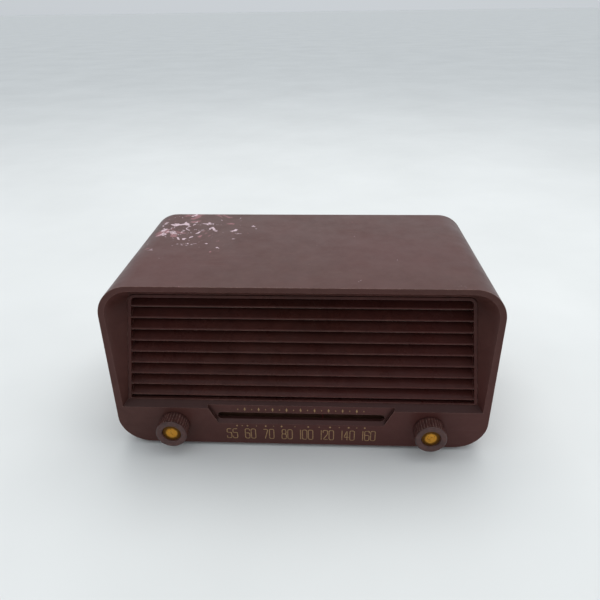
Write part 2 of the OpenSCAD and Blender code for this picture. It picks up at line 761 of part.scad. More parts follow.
module power_switch() color("#2d2b29") place() {
    bar_y(10, apron_y + 12, apron_y + 21, -knob_x, shaft_z);
    for (side = [-1, 1]) block([side * 5 - knob_x - 1.2, apron_y + 21, shaft_z - 0.5],
                               [side * 5 - knob_x + 1.2, apron_y + 25, shaft_z + 0.5]);
}

// ---------- Tuning gang ----------

module gang_section_places() {
    for (y = [gang_front + 4, gang_front + gang_len / 2 + 3.5]) translate([drum_x, y, drum_z]) children();
}

// The two rods that carry the fixed plates, or the holes that they pass through
module stator_rods(r, y0, y1) {
    out = rotor_r + 1;
    for (t = [150, 210]) bar_y(r, y0, y1, drum_x + out * cos(t), drum_z + out * sin(t));
}

module gang_frame() color("#a5a39b") place() {
    floor_low = deck_z + 2;
    difference() {
        for (y = [gang_front, gang_front + gang_len / 2 - gang_wall / 2, gang_front + gang_len - gang_wall])
            block([drum_x - gang_left, y, floor_low], [drum_x + gang_right, y + gang_wall, drum_z + 9]);
        bar_y(shaft_r + run_gap, gang_front - 1, gang_front + gang_len + 1, drum_x, drum_z);
        stator_rods(3, gang_front + gang_wall, gang_front + gang_len - gang_wall);
    }
    block([drum_x - gang_left, gang_front, floor_low],
          [drum_x + gang_right, gang_front + gang_len, floor_low + gang_wall]);
}

module gang_grommets() color("#2a2522") place()
    for (x = [drum_x - gang_left + 6, drum_x + gang_right - 6], y = [gang_front + 7, gang_front + gang_len - 7])
        translate([x, y, deck_z]) cylinder(r = 4, h = 2);

// Fixed plates on the left of the shaft, joined by two rods
module gang_stator() color("#c4c2ba") place() {
    gang_section_places() for (k = [0:rotor_plates]) intersection() {
        translate([0, k * plate_step, 0]) difference() {
            bar_y(rotor_r + 2, 0, plate_thick);
            bar_y(shaft_r + 4, -1, 2);
        }
        block([-rotor_r - 3, -1, -rotor_r - 3], [-2, gang_len, rotor_r + 3]);
    }
    stator_rods(0.9, gang_front + gang_wall, gang_front + gang_len - gang_wall);
}

// Half-round moving plates on the shaft, turned to the station that the pointer shows
module gang_rotor() color("#cfcdc6") place() {
    bar_y(shaft_r, apron_y - 8, gang_front + gang_len + 2, drum_x, drum_z);
    gang_section_places() rotate([0, rotor_rest, 0]) for (k = [0:rotor_plates - 1])
        translate([0, (k + 0.5) * plate_step, 0]) intersection() {
            bar_y(rotor_r, 0, plate_thick);
            block([-rotor_r - 1, -1, -rotor_r - 1], [shaft_r - 0.2, 2, rotor_r + 1]);
        }
    gang_section_places() bar_y(shaft_r + 1.5, 0.9, rotor_plates * plate_step);
}

module dial_drum() color("#6b4a33") place() {
    mid = (drum_y0 + drum_y1) / 2;
    web = 1.2;
    difference() {
        union() {
            turned_y(drum_x, 0, drum_z)
                polygon([[drum_floor - 3, drum_y0], [drum_flange, drum_y0], [drum_flange, drum_y0 + 0.8],
                         [drum_floor, drum_y0 + 0.8], [drum_floor, drum_y1 - 0.8],
                         [drum_flange, drum_y1 - 0.8], [drum_flange, drum_y1],
                         [drum_floor - 3, drum_y1]]);
            bar_y(drum_floor - 2.9, mid - web / 2, mid + web / 2, drum_x, drum_z);
            bar_y(shaft_r + 3, apron_y - 7, apron_y + 2.5, drum_x, drum_z);
        }
        bar_y(shaft_r, apron_y - 9, apron_y + 4, drum_x, drum_z);
        for (t = [0:60:300]) rotate_about(drum_x, drum_z, t)
            bar_y(drum_floor * 0.19, mid - 2, mid + 2, drum_x + drum_floor * 0.56, drum_z);
    }
}

module rotate_about(x, z, angle) { translate([x, 0, z]) rotate([0, angle, 0]) translate([-x, 0, -z]) children(); }

// The tension spring lies on the drum's web, from near the hub to near the rim
module cord_spring() color("#9aa0a6") place() {
    low = drum_z + shaft_r + 4;
    high = drum_z + drum_floor - 4.5;
    translate([drum_x, (drum_y0 + drum_y1) / 2 - 0.6 - 1.4, low]) cylinder(r = 1.4, h = high - low);
}

// ---------- Speaker ----------

module ear_places() {
    for (t = [45:90:315])
        translate([speaker_x + ear_at * cos(t), 0, speaker_z + ear_at * sin(t)]) children();
}

module speaker_baffle() color("#8f8d86") place() {
    left = speaker_x - speaker_r - speaker_side;
    right = speaker_x + speaker_r + speaker_side - 2;
    difference() {
        block([left, baffle_y, deck_z], [right, baffle_y + sheet, roof_z - 3.8]);
        bar_y(ledge_r - 1, baffle_y - 1, baffle_y + 3, speaker_x, speaker_z);
        ear_places() bar_y(screw_r, baffle_y - 1, baffle_y + 3);
    }
    for (x = [left, right - 12])
        block([x, baffle_y, deck_z], [x + 12, baffle_y + 16, deck_z + sheet]);
}

module speaker_basket() color("#7d7b74") place() difference() {
    union() {
        turned_y(speaker_x, speaker_y, speaker_z)
            polygon([[ledge_r, 0], [speaker_r, 0], [speaker_r, sheet], [ledge_r + sheet, sheet],
                     [ledge_r + sheet, 2.8 + sheet], [ledge_r - 2, 2.8 + sheet],
                     [yoke_r + 1, basket_depth], [yoke_r + 1, basket_depth + sheet],
                     [coil_r + 2, basket_depth + sheet], [coil_r + 2, basket_depth],
                     [yoke_r, basket_depth], [ledge_r - 3.4, 2.8 + sheet],
                     [ledge_r - 3.4, 2.8], [ledge_r, 2.8]]);
        ear_places() bar_y(ear_r, speaker_y, speaker_y + sheet);
    }
    ear_places() bar_y(screw_r + 0.3, speaker_y - 1, speaker_y + 3);
    for (t = [0:90:270]) rotate_about(speaker_x, speaker_z, t)
        block([speaker_x - 11, ledge_y + 4, speaker_z], [speaker_x + 11, basket_y - 3, speaker_z + speaker_r]);
}

module speaker_screws() color("#b9b5aa") place() ear_places() {
    bar_y(screw_r, baffle_y - 1, speaker_y + sheet + 1);
    bar_y(screw_r * 2, speaker_y + sheet + 0.4, speaker_y + sheet + 2.2);
}

module speaker_yoke() color("#55534f") place() difference() {
    bar_y(yoke_r, basket_y + sheet, basket_y + sheet + yoke_depth, speaker_x, speaker_z);
    bar_y(coil_r + coil_t + coil_gap, basket_y, basket_y + 5, speaker_x, speaker_z);
    bar_y(yoke_r - 3, basket_y + sheet + 3, basket_y + sheet + yoke_depth - 3, speaker_x, speaker_z);
}

module speaker_pole() color("#8b8984") place()
    bar_y(pole_r, basket_y + sheet, basket_y + sheet + yoke_depth - 3, speaker_x, speaker_z);

module speaker_cone() color("#2c2622") place() turned_y(speaker_x, 0, speaker_z)
    polygon([[cone_r, ledge_y - 0.6], [cone_r, ledge_y], [coil_r + coil_t, basket_y - 3],
             [coil_r + coil_t, basket_y - 3.8], [cone_r - 0.8, ledge_y - 0.6]]);

module voice_coil() color("#8a5a32") place() difference() {
    bar_y(coil_r + coil_t, basket_y - 6, basket_y + sheet + 2.6, speaker_x, speaker_z);
    bar_y(coil_r, basket_y - 7, basket_y + sheet + 4, speaker_x, speaker_z);
}

module dust_cap() color("#24201d") place() turned_y(speaker_x, basket_y - 6, speaker_z)
    polygon([[0, -3.6], [4, -3.1], [7, -1.9], [coil_r + coil_t, 0], [0, 0]]);

module cone_surround() color("#1f1b19") place() turned_y(speaker_x, ledge_y - 0.6, speaker_z) {
    translate([cone_r + 0.1, 0]) square([ledge_r - cone_r - 0.2, 0.6]);
    translate([cone_r + surround_w / 2, 0]) intersection() {
        difference() {
            circle(1.5);
            circle(0.9);
        }
        translate([-2, -2]) square([4, 2.3]);
    }
}

module spider() color("#b08a4a") place() difference() {
    bar_y(yoke_r - 1, basket_y - 1.4, basket_y - 0.8, speaker_x, speaker_z);
    bar_y(coil_r + coil_t + 0.1, basket_y - 3, basket_y, speaker_x, speaker_z);
}

// ---------- Valves, cans and small parts ----------

module valve_sockets() color("#5c3a26") place() valve_places() translate([0, 0, deck_z]) {
    cylinder(r = socket_r + 1.6, h = socket_flange);
    translate([0, 0, -6]) cylinder(r = socket_r, h = 6.5);
}

// A glass bulb with a domed top and the tip where it was sealed
module bulb(height) {
    module solid(r, low, high) {
        rotate_extrude() polygon(concat([[0, low], [r, low]],
            [for (t = [0:15:75]) [r * cos(t), high - r * 0.7 + r * 0.7 * sin(t)]], [[0, high]]));
    }
    translate([0, 0, valve_z]) {
        difference() {
            solid(valve_r, 0, height - 4);
            solid(valve_r - 0.9, stem_t, height - 4.9);
        }
        translate([0, 0, height - 4.6]) cylinder(r1 = 2.4, r2 = 0.8, h = 4.6);
    }
}

module rectifier_valve() color("#cfd6d2") place() row_place(0) bulb(tall_valve_h);
module output_valve() color("#cfd6d2") place() row_place(1) bulb(tall_valve_h);
module detector_valve() color("#cfd6d2") place() row_place(3) bulb(short_valve_h);
module if_valve() color("#cfd6d2") place() row_place(5) bulb(short_valve_h);
module converter_valve() color("#cfd6d2") place() row_place(7) bulb(short_valve_h);

module valve_electrodes() color("#6c6a66") place() {
    for (v = [[0, tall_valve_h], [1, tall_valve_h], [3, short_valve_h], [5, short_valve_h], [7, short_valve_h]])
        row_place(v[0]) translate([0, 0, valve_z + stem_t]) {
            cylinder(r = 1.2, h = 8);
            translate([0, 0, 7]) cylinder(r = valve_r - 1.4, h = 0.6);
            translate([0, 0, 7]) cylinder(r = valve_r * 0.5, h = v[1] - 25);
            translate([0, 0, v[1] - 18.6]) cylinder(r = valve_r - 1.4, h = 0.6);
        }
}

module if_cans() color("#b7b9b8") place()
    for (i = [4, 6]) row_place(i) translate([0, 0, deck_z]) {
        translate([-can_w / 2, -can_w / 2, 0]) cube([can_w, can_w, can_h]);
        translate([0, 0, can_h]) cylinder(r = 3, h = 0.8);
    }

module filter_capacitor() color("#aeb0ae") place() row_place(2) translate([0, 0, deck_z]) {
    cylinder(r = filter_r, h = filter_h);
    cylinder(r = filter_r + 0.4, h = 3);
}

module output_transformer() color("#4c4a46") place() {
    x = -40;
    y = apron_y + 24;
    top = deck_z - sheet;
    block([x - 17, y, top - 24], [x + 17, y + 14, top]);
    block([x - 11, y - 6, top - 20], [x + 11, y + 20, top - 4]);
}

// A row of small parts that lie along y, each a body with a lead at both ends
module wired_row(count, step, first_x, y, z, r, length, lead_front, lead_back)
    for (i = [0:count - 1]) translate([first_x + i * step, y, z]) {
        bar_y(r, 0, length);
        bar_y(lead_r, -lead_front, length + lead_back);
    }

module paper_capacitors() color("#b79a55") place()
    wired_row(5, 15, 6, chassis_mid_y - 3, floor_z + 16, 4.5, 26, 8, 8);

module resistors() color("#7a5233") place()
    wired_row(7, 11, 2, chassis_mid_y - 29, floor_z + 20, 2, 10, 7, 6);

// ---------- Assembly ----------

cabinet();
louvre_grille();
grille_cloth();
rubber_feet();
back_panel();
back_screws();
loop_antenna();
ac_inlet();
ac_inlet_pins();
dial_plate();
dial_plate_screws();
dial_pointer();
dial_cord();
pulley_bracket();
pulley_pins();
idler_pulley_left();
idler_pulley_right();
chassis();
chassis_screws();
bushing_nuts();
tuning_bushing();
tuning_shaft();
tuning_shaft_clip();
tuning_knob();
tuning_knob_insert();
tuning_knob_spring();
volume_pot();
power_switch();
volume_shaft();
volume_knob();
volume_knob_insert();
volume_knob_spring();
gang_frame();
gang_grommets();
gang_stator();
gang_rotor();
dial_drum();
cord_spring();
speaker_baffle();
speaker_basket();
speaker_screws();
speaker_yoke();
speaker_pole();
speaker_cone();
voice_coil();
dust_cap();
cone_surround();
spider();
valve_sockets();
converter_valve();
if_valve();
detector_valve();
output_valve();
rectifier_valve();
valve_electrodes();
if_cans();
filter_capacitor();
output_transformer();
paper_capacitors();
resistors();
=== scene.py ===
import json
import math
import bmesh
import bpy
from mathutils import Matrix, Vector, noise
from mathutils.bvhtree import BVHTree


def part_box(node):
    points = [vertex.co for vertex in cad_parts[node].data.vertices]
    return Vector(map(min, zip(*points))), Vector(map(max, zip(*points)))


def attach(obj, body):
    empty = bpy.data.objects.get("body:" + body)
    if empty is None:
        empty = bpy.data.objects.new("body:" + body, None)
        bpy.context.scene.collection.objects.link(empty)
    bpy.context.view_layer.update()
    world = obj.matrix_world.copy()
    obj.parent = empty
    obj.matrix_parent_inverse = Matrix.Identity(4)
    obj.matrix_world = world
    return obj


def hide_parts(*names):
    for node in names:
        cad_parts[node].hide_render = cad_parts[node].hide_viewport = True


MM = 0.001

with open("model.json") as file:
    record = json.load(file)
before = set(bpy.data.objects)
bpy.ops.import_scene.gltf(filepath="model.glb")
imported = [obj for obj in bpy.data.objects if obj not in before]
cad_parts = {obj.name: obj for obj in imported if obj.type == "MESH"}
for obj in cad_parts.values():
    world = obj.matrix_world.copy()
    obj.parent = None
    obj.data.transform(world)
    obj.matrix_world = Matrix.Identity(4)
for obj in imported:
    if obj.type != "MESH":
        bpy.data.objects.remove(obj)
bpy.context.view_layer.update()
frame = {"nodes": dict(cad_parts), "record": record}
nodes = frame["nodes"]
body_of_node = {n: b for b, members in frame["record"]["behaviour"]["bodies"].items() for n in members}
slot_of_node = {s["node"]: s["material_slot"] for s in frame["record"]["subparts"]}
cab_lo, cab_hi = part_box("cabinet")
FRONT = cab_lo.y
TOP = cab_hi.z


# ---------- Shaders ----------

# How near a wall of the same piece has to be for a place beside it to get painted shade, in mm
SHADE_REACH = 24
# How much painted shade lies on surfaces that face up below the top
LEDGE_SHADE = 0.7
# The scuffs gather round a place near the top's back left corner; each noise has its own start
SCUFF_CENTRE = (cab_lo.x + 40 * MM, cab_hi.y - 40 * MM, TOP)
SCUFF_REACH = 75 * MM
SCUFF_RARE = 0.725
PINK_DRIFT = (2.0, 5.0, 1.0)
PALE_DRIFT = (7.0, 3.0, 4.0)


class Shader:
    """A principled material and short names for the nodes that feed it."""

    def __init__(self, name, **constants):
        self.mat = bpy.data.materials.new(name)
        self.mat.use_nodes = True
        self.tree = self.mat.node_tree
        self.bsdf = self.tree.nodes["Principled BSDF"]
        self.coord = self.tree.nodes.new("ShaderNodeTexCoord")
        self.here = self.coord.outputs["Object"]
        self.last_bump = None
        for key, value in constants.items():
            self.bsdf.inputs[key.replace("_", " ")].default_value = value

    def new(self, kind, **props):
        node = self.tree.nodes.new(kind)
        for key, value in props.items():
            setattr(node, key, value)
        return node

    def plug(self, socket, value):
        if isinstance(value, bpy.types.NodeSocket):
            self.tree.links.new(value, socket)
        elif isinstance(value, (tuple, list)) and len(value) == 3 and socket.type == "RGBA":
            socket.default_value = (*value, 1)
        else:
            socket.default_value = value

    def mapped(self, scale, turn=(0, 0, 0), at=(0, 0, 0), kind="POINT", vec=None):
        node = self.new("ShaderNodeMapping", vector_type=kind)
        self.plug(node.inputs["Vector"], vec or self.here)
        node.inputs["Scale"].default_value = scale
        node.inputs["Rotation"].default_value = turn
        node.inputs["Location"].default_value = at
        return node.outputs[0]

    def noise(self, scale, detail=3.0, rough=0.55, vec=None, distort=0.0):
        node = self.new("ShaderNodeTexNoise")
        self.plug(node.inputs["Vector"], vec or self.here)
        for key, value in (("Scale", scale), ("Detail", detail), ("Roughness", rough),
                           ("Distortion", distort)):
            node.inputs[key].default_value = value
        return node.outputs[0]

    def cells(self, scale, feature="F1", vec=None, random=1.0):
        node = self.new("ShaderNodeTexVoronoi", feature=feature)
        self.plug(node.inputs["Vector"], vec or self.here)
        node.inputs["Scale"].default_value = scale
        node.inputs["Randomness"].default_value = random
        return node.outputs["Distance"]

    def bands(self, scale, axis="X", distort=0.0, vec=None, profile="SIN"):
        node = self.new("ShaderNodeTexWave", bands_direction=axis, wave_profile=profile)
        self.plug(node.inputs["Vector"], vec or self.here)
        node.inputs["Scale"].default_value = scale
        node.inputs["Distortion"].default_value = distort
        return node.outputs["Fac"]

    def math(self, kind, a, b=0.0, c=0.0, clamp=False):
        node = self.new("ShaderNodeMath", operation=kind, use_clamp=clamp)
        for socket, value in zip(node.inputs, (a, b, c)):
            self.plug(socket, value)
        return node.outputs[0]

    def remap(self, value, a, b, lo=0.0, hi=1.0):
        node = self.new("ShaderNodeMapRange", clamp=True)
        for socket, v in zip(node.inputs, (value, a, b, lo, hi)):
            self.plug(socket, v)
        return node.outputs[0]

    def mix(self, fac, a, b):
        node = self.new("ShaderNodeMix", data_type="RGBA")
        self.plug(node.inputs[0], fac)
        self.plug(node.inputs[6], a)
        self.plug(node.inputs[7], b)
        return node.outputs[2]

    def part(self, vec, axis):
        node = self.new("ShaderNodeSeparateXYZ")
        self.plug(node.inputs[0], vec)
        return node.outputs[axis]

    def geometry(self, name):
        return self.new("ShaderNodeNewGeometry").outputs[name]

    def facing_up(self, a=0.6, b=0.95):
        return self.remap(self.part(self.geometry("Normal"), "Z"), a, b)

    def worn_edge(self, a, b):
        """1 on edges of a dense mesh; it is read at the vertices, so arris is for large triangles."""
        return self.remap(self.geometry("Pointiness"), a, b)

    def arris(self, radius_mm=0.6, a=0.02, b=0.16):
        """1 along an edge and 0 on a flat face, however large the face's own triangles are."""
        soft = self.new("ShaderNodeBevel", samples=6)
        soft.inputs["Radius"].default_value = radius_mm * MM
        agree = self.new("ShaderNodeVectorMath", operation="DOT_PRODUCT")
        self.plug(agree.inputs[0], soft.outputs[0])
        self.plug(agree.inputs[1], self.geometry("Normal"))
        return self.remap(self.math("SUBTRACT", 1.0, agree.outputs["Value"]), a, b)

    def painted_corner_shade(self, reach_mm, a=0.97, b=0.62):
        """1 in corners that the piece's own walls shelter from light, where shade is painted in, and 0 in
        the open.
        """
        nearby = self.new("ShaderNodeAmbientOcclusion", samples=6, only_local=True)
        nearby.inputs["Distance"].default_value = reach_mm * MM
        return self.remap(nearby.outputs["AO"], a, b)

    def scratches(self, turn, along=14.0, across=620.0, width=0.012):
        """Thin long lines: where a noise stretched along one direction crosses its middle value."""
        n = self.noise(1.0, 2.0, 0.5, self.mapped((along, across, across), turn))
        return self.math("LESS_THAN", self.math("ABSOLUTE", self.math("SUBTRACT", n, 0.5)), width)

    def bump(self, height, depth_mm, strength=1.0):
        node = self.new("ShaderNodeBump")
        self.plug(node.inputs["Height"], height)
        node.inputs["Distance"].default_value = depth_mm * MM
        node.inputs["Strength"].default_value = strength
        if self.last_bump:
            self.plug(node.inputs["Normal"], self.last_bump)
        self.last_bump = node.outputs[0]
        self.plug(self.bsdf.inputs["Normal"], self.last_bump)

    def finish(self, color, rough):
        self.plug(self.bsdf.inputs["Base Color"], color)
        self.plug(self.bsdf.inputs["Roughness"], rough)
        return self.mat


def scuffs(s, scale, least, offset):
    """Ragged patches on the top, 1 inside and 0 outside, thick near one back corner and rare elsewhere."""
    cells = s.noise(1.0, 4.0, 0.58, s.mapped((scale, scale, scale), (0, 0, 0), offset), 0.6)
    away = s.new("ShaderNodeVectorMath", operation="DISTANCE")
    s.plug(away.inputs[0], s.here)
    away.inputs[1].default_value = SCUFF_CENTRE
    limit = s.remap(away.outputs["Value"], 0.15 * SCUFF_REACH, SCUFF_REACH, least, SCUFF_RARE)
    patch = s.remap(s.math("SUBTRACT", cells, limit), 0.0, 0.02)
    return s.math("MULTIPLY", patch, s.facing_up(0.9, 0.99))


def bakelite(name, deep, light, red, marked=False, rough=0.36, painted_shade_share=0.75):
    """Brown bakelite with flow marks, specks, pale edges that are partly wear and partly a painted
    highlight, dust, hairlines and painted shade; marked adds scuffs.
    """
    s = Shader(name, Specular_IOR_Level=0.18)
    broad = s.remap(s.noise(9, 2.0), 0.35, 0.68)
    flow = s.remap(s.noise(60, 5.0, 0.62, distort=1.2), 0.38, 0.66)
    color = s.mix(flow, deep, light)
    color = s.mix(s.math("MULTIPLY", broad, 0.5), color, red)
    speck = s.math("LESS_THAN", s.cells(420), 0.11)
    color = s.mix(s.math("MULTIPLY", speck, 0.06), color, (light[0] * 1.8, light[1] * 1.8, light[2] * 1.7))
    # Pale edges: partly wear, partly a painted highlight along the arrises
    edge = s.math("MULTIPLY", s.arris(), s.remap(s.noise(230, 4.0), 0.36, 0.62, 0.35, 1.0))
    color = s.mix(s.math("MULTIPLY", edge, 0.8), color, (0.40, 0.255, 0.215))
    dust = s.math("MULTIPLY", s.facing_up(0.5, 1.0), s.remap(s.noise(34, 6.0, 0.7), 0.3, 0.75))
    color = s.mix(s.math("MULTIPLY", dust, 0.05), color, (0.34, 0.27, 0.24))
    fine = s.math("MAXIMUM", s.scratches((0, 0, 0.5), 10, 540, 0.004),
                  s.scratches((0, 0, -0.9), 16, 700, 0.003))
    fine = s.math("MULTIPLY", fine, s.remap(s.noise(22, 2.0), 0.5, 0.7))
    color = s.mix(s.math("MULTIPLY", fine, 0.16), color, (0.24, 0.17, 0.15))
    # Painted shade: dark red in corners that the piece's own walls shelter and on up-facing ledges below the
    # top, such as the sill
    low = s.remap(s.part(s.here, "Z"), 0.75 * TOP, 0.6 * TOP)
    ledge = s.math("MULTIPLY", s.facing_up(0.4, 0.85), low)
    painted_shade = s.math("MAXIMUM", s.painted_corner_shade(SHADE_REACH), s.math("MULTIPLY", ledge, LEDGE_SHADE))
    color = s.mix(s.math("MULTIPLY", painted_shade, painted_shade_share), color, (0.014, 0.0030, 0.0026))
    roughness = s.remap(s.noise(45, 5.0, 0.65), 0.3, 0.75, rough - 0.07, rough + 0.12)
    roughness = s.math("ADD", roughness, s.math("MULTIPLY", edge, 0.15))
    if marked:
        pink = scuffs(s, 60, 0.53, PINK_DRIFT)
        pale = scuffs(s, 130, 0.56, PALE_DRIFT)
        film = s.math("MULTIPLY", pink, s.remap(s.noise(330, 4.0, 0.7), 0.3, 0.7, 0.35, 0.85))
        color = s.mix(film, color, (0.34, 0.165, 0.175))
        color = s.mix(s.math("MULTIPLY", pale, 0.85), color, (0.60, 0.46, 0.50))
        scraped = s.math("MAXIMUM", film, pale)
        roughness = s.math("ADD", roughness, s.math("MULTIPLY", scraped, 0.25))
        s.bump(scraped, 0.04, 0.6)
    s.bump(s.noise(1500, 2.0), 0.012, 0.5)
    s.bump(s.noise(90, 3.0), 0.02, 0.25)
    s.bump(fine, 0.01, 0.4)
    return s.finish(color, roughness)


def knob_bakelite():
    s = Shader("knob_bakelite", Specular_IOR_Level=0.5)
    flow = s.remap(s.noise(190, 5.0, 0.65, distort=1.0), 0.35, 0.68)
    color = s.mix(flow, (0.046, 0.0165, 0.014), (0.100, 0.036, 0.030))
    worn = s.math("MULTIPLY", s.worn_edge(0.50, 0.57), s.remap(s.noise(900, 4.0, 0.7), 0.4, 0.62))
    color = s.mix(s.math("MULTIPLY", worn, 0.9), color, (0.36, 0.25, 0.21))
    # Painted shade: darker in the knob's hollows, the flute bottoms and the inner edge of the dish
    painted_shade = s.remap(s.geometry("Pointiness"), 0.49, 0.42)
    color = s.mix(s.math("MULTIPLY", painted_shade, 0.7), color, (0.014, 0.007, 0.006))
    rough = s.math("ADD", s.remap(s.noise(300, 4.0), 0.3, 0.7, 0.30, 0.50), s.math("MULTIPLY", worn, 0.2))
    s.bump(s.noise(1300, 5.0, 0.7), 0.05, 0.6)
    return s.finish(color, rough)


def aged_brass():
    """Brass that has gone brown round its rim, where cleaning never reached."""
    s = Shader("aged_brass", Metallic=1.0)
    tone = s.remap(s.noise(420, 5.0, 0.7), 0.32, 0.7)
    color = s.mix(tone, (0.52, 0.22, 0.022), (0.68, 0.34, 0.055))
    dirt = s.math("MULTIPLY", s.remap(s.noise(520, 4.0, 0.75, distort=1.0), 0.52, 0.66),
                  s.remap(s.noise(140, 2.0), 0.42, 0.6))
    off = s.new("ShaderNodeVectorMath", operation="DISTANCE")
    s.plug(off.inputs[0], s.coord.outputs["Generated"])
    off.inputs[1].default_value = (0.5, 0.0, 0.5)
    ragged = s.math("MULTIPLY", s.math("SUBTRACT", s.noise(600, 4.0, 0.7), 0.5), 0.16)
    rim = s.remap(s.math("ADD", off.outputs["Value"], ragged), 0.33, 0.43)
    dirt = s.math("MAXIMUM", dirt, rim)
    color = s.mix(s.math("MULTIPLY", dirt, 0.85), color, (0.06, 0.026, 0.010))
    s.bump(s.noise(2600, 4.0, 0.7), 0.02, 0.6)
    return s.finish(color, s.math("ADD", s.remap(tone, 0, 1, 0.42, 0.28), s.math("MULTIPLY", dirt, 0.3)))


def gilt():
    """Faded gold paint in the numerals, rubbed off in places."""
    s = Shader("gilt", Metallic=0.35)
    tone = s.remap(s.noise(800, 4.0, 0.7), 0.3, 0.7)
    color = s.mix(tone, (0.27, 0.155, 0.070), (0.46, 0.290, 0.135))
    rubbed = s.remap(s.noise(520, 5.0, 0.75), 0.52, 0.68)
    color = s.mix(s.math("MULTIPLY", rubbed, 0.85), color, (0.070, 0.040, 0.033))
    s.bump(s.noise(2500, 3.0), 0.02, 0.6)
    return s.finish(color, s.remap(rubbed, 0, 1, 0.5, 0.62))


def metal(name, bright, dull, rough, stain=(0.20, 0.14, 0.09), stained=0.25, grain=(1, 1, 1)):
    s = Shader(name, Metallic=1.0)
    tone = s.remap(s.noise(70, 6.0, 0.65), 0.32, 0.68)
    color = s.mix(tone, dull, bright)
    spots = s.math("MULTIPLY", s.remap(s.noise(160, 5.0, 0.75, distort=0.8), 0.56, 0.68), stained)
    color = s.mix(spots, color, stain)
    lines = s.noise(1.0, 3.0, 0.6, s.mapped(tuple(900 * g for g in grain)))
    s.bump(lines, 0.01, 0.5)
    roughness = s.remap(s.noise(120, 4.0), 0.3, 0.7, rough - 0.07, rough + 0.12)
    return s.finish(color, s.math("ADD", roughness, s.math("MULTIPLY", spots, 0.4)))


def moulded(name, dark, light, rough, scale=160, bump_mm=0.03, grain=1100, **constants):
    s = Shader(name, **constants)
    tone = s.remap(s.noise(scale, 5.0, 0.65, distort=0.7), 0.33, 0.68)
    color = s.mix(tone, dark, light)
    edge = s.math("MULTIPLY", s.arris(0.4), 0.35)
    color = s.mix(edge, color, tuple(min(1.0, c * 1.7 + 0.02) for c in light))
    s.bump(s.noise(grain, 4.0), bump_mm, 0.6)
    return s.finish(color, s.remap(s.noise(scale * 1.7, 4.0), 0.3, 0.7, rough - 0.08, rough + 0.1))


def grille_cloth():
    s = Shader("grille_cloth", Sheen_Weight=0.35)
    across = s.bands(330, "X", 0.4)
    up = s.bands(330, "Z", 0.4)
    weave = s.math("MAXIMUM", across, up)
    pick = s.math("MULTIPLY", across, up)
    color = s.mix(weave, (0.010, 0.008, 0.006), (0.060, 0.045, 0.032))
    color = s.mix(s.math("MULTIPLY", pick, 0.7), color, (0.16, 0.12, 0.07))
    s.bump(weave, 0.25, 0.8)
    return s.finish(color, s.remap(s.noise(300), 0.3, 0.7, 0.78, 0.95))


def fibreboard():
    s = Shader("fibreboard", Specular_IOR_Level=0.25)
    fibres = s.noise(1.0, 5.0, 0.7, s.mapped((420, 420, 900), (0, 0.5, 0)))
    blotch = s.remap(s.noise(26, 6.0, 0.7), 0.3, 0.72)
    color = s.mix(s.remap(fibres, 0.3, 0.7), (0.105, 0.054, 0.026), (0.235, 0.132, 0.066))
    color = s.mix(s.math("MULTIPLY", blotch, 0.55), color, (0.115, 0.062, 0.034))
    fleck = s.math("LESS_THAN", s.cells(900, vec=s.mapped((1, 1, 0.35), (0, 0.7, 0))), 0.12)
    color = s.mix(s.math("MULTIPLY", fleck, 0.5), color, (0.42, 0.28, 0.16))
    edge = s.math("MULTIPLY", s.arris(0.5), 0.6)
    color = s.mix(edge, color, (0.38, 0.25, 0.15))
    s.bump(fibres, 0.10, 0.7)
    s.bump(s.noise(2200, 3.0), 0.03, 0.5)
    return s.finish(color, s.remap(blotch, 0, 1, 0.70, 0.86))


def dial_card():
    """The dial plate: plain dark brown enamel, seen only through the slot."""
    s = Shader("dial_card", Specular_IOR_Level=0.35)
    tone = s.remap(s.noise(130, 5.0, 0.7), 0.3, 0.7)
    color = s.mix(tone, (0.070, 0.030, 0.018), (0.120, 0.058, 0.034))
    s.bump(s.noise(1600, 3.0), 0.02, 0.5)
    return s.finish(color, s.remap(tone, 0, 1, 0.42, 0.6))


def cord_fabric():
    s = Shader("cord_fabric", Sheen_Weight=0.3)
    braid = s.bands(900, "DIAGONAL", 1.5)
    color = s.mix(braid, (0.22, 0.17, 0.10), (0.62, 0.52, 0.36))
    color = s.mix(s.remap(s.noise(120, 3.0), 0.45, 0.7, 0.0, 0.5), color, (0.16, 0.11, 0.07))
    s.bump(braid, 0.10, 0.9)
    return s.finish(color, s.remap(s.noise(400), 0.3, 0.7, 0.75, 0.92))


def bulb_glass():
    """Clear glass with the silvery getter film inside the top of the bulb."""
    s = Shader("bulb_glass", Transmission_Weight=0.92, IOR=1.48)
    high = s.part(s.coord.outputs["Generated"], "Z")
    film = s.remap(s.math("ADD", high, s.math("MULTIPLY", s.noise(240, 3.0), 0.12)), 0.84, 0.96)
    color = s.mix(film, (0.90, 0.95, 0.93), (0.30, 0.28, 0.27))
    smudge = s.noise(90, 4.0, 0.7)
    s.bump(s.noise(70, 2.0), 0.04, 0.3)
    rough = s.math("ADD", s.remap(smudge, 0.4, 0.8, 0.03, 0.16), s.math("MULTIPLY", film, 0.2))
    return s.finish(color, rough)


def windings(name, dark, light, axis, scale):
    s = Shader(name, Specular_IOR_Level=0.4)
    turns = s.bands(scale, axis, 0.15)
    color = s.mix(turns, dark, light)
    color = s.mix(s.remap(s.noise(150, 4.0), 0.45, 0.7, 0.0, 0.6), color, tuple(c * 0.45 for c in light))
    s.bump(turns, 0.15, 0.8)
    return s.finish(color, s.remap(s.noise(260), 0.3, 0.7, 0.40, 0.62))


def cone_paper():
    s = Shader("cone_paper", Specular_IOR_Level=0.2)
    fibres = s.noise(700, 6.0, 0.75)
    color = s.mix(s.remap(fibres, 0.3, 0.7), (0.022, 0.017, 0.014), (0.075, 0.060, 0.048))
    s.bump(fibres, 0.08, 0.8)
    s.bump(s.noise(120, 3.0), 0.15, 0.3)
    return s.finish(color, s.remap(s.noise(200), 0.3, 0.7, 0.8, 0.95))


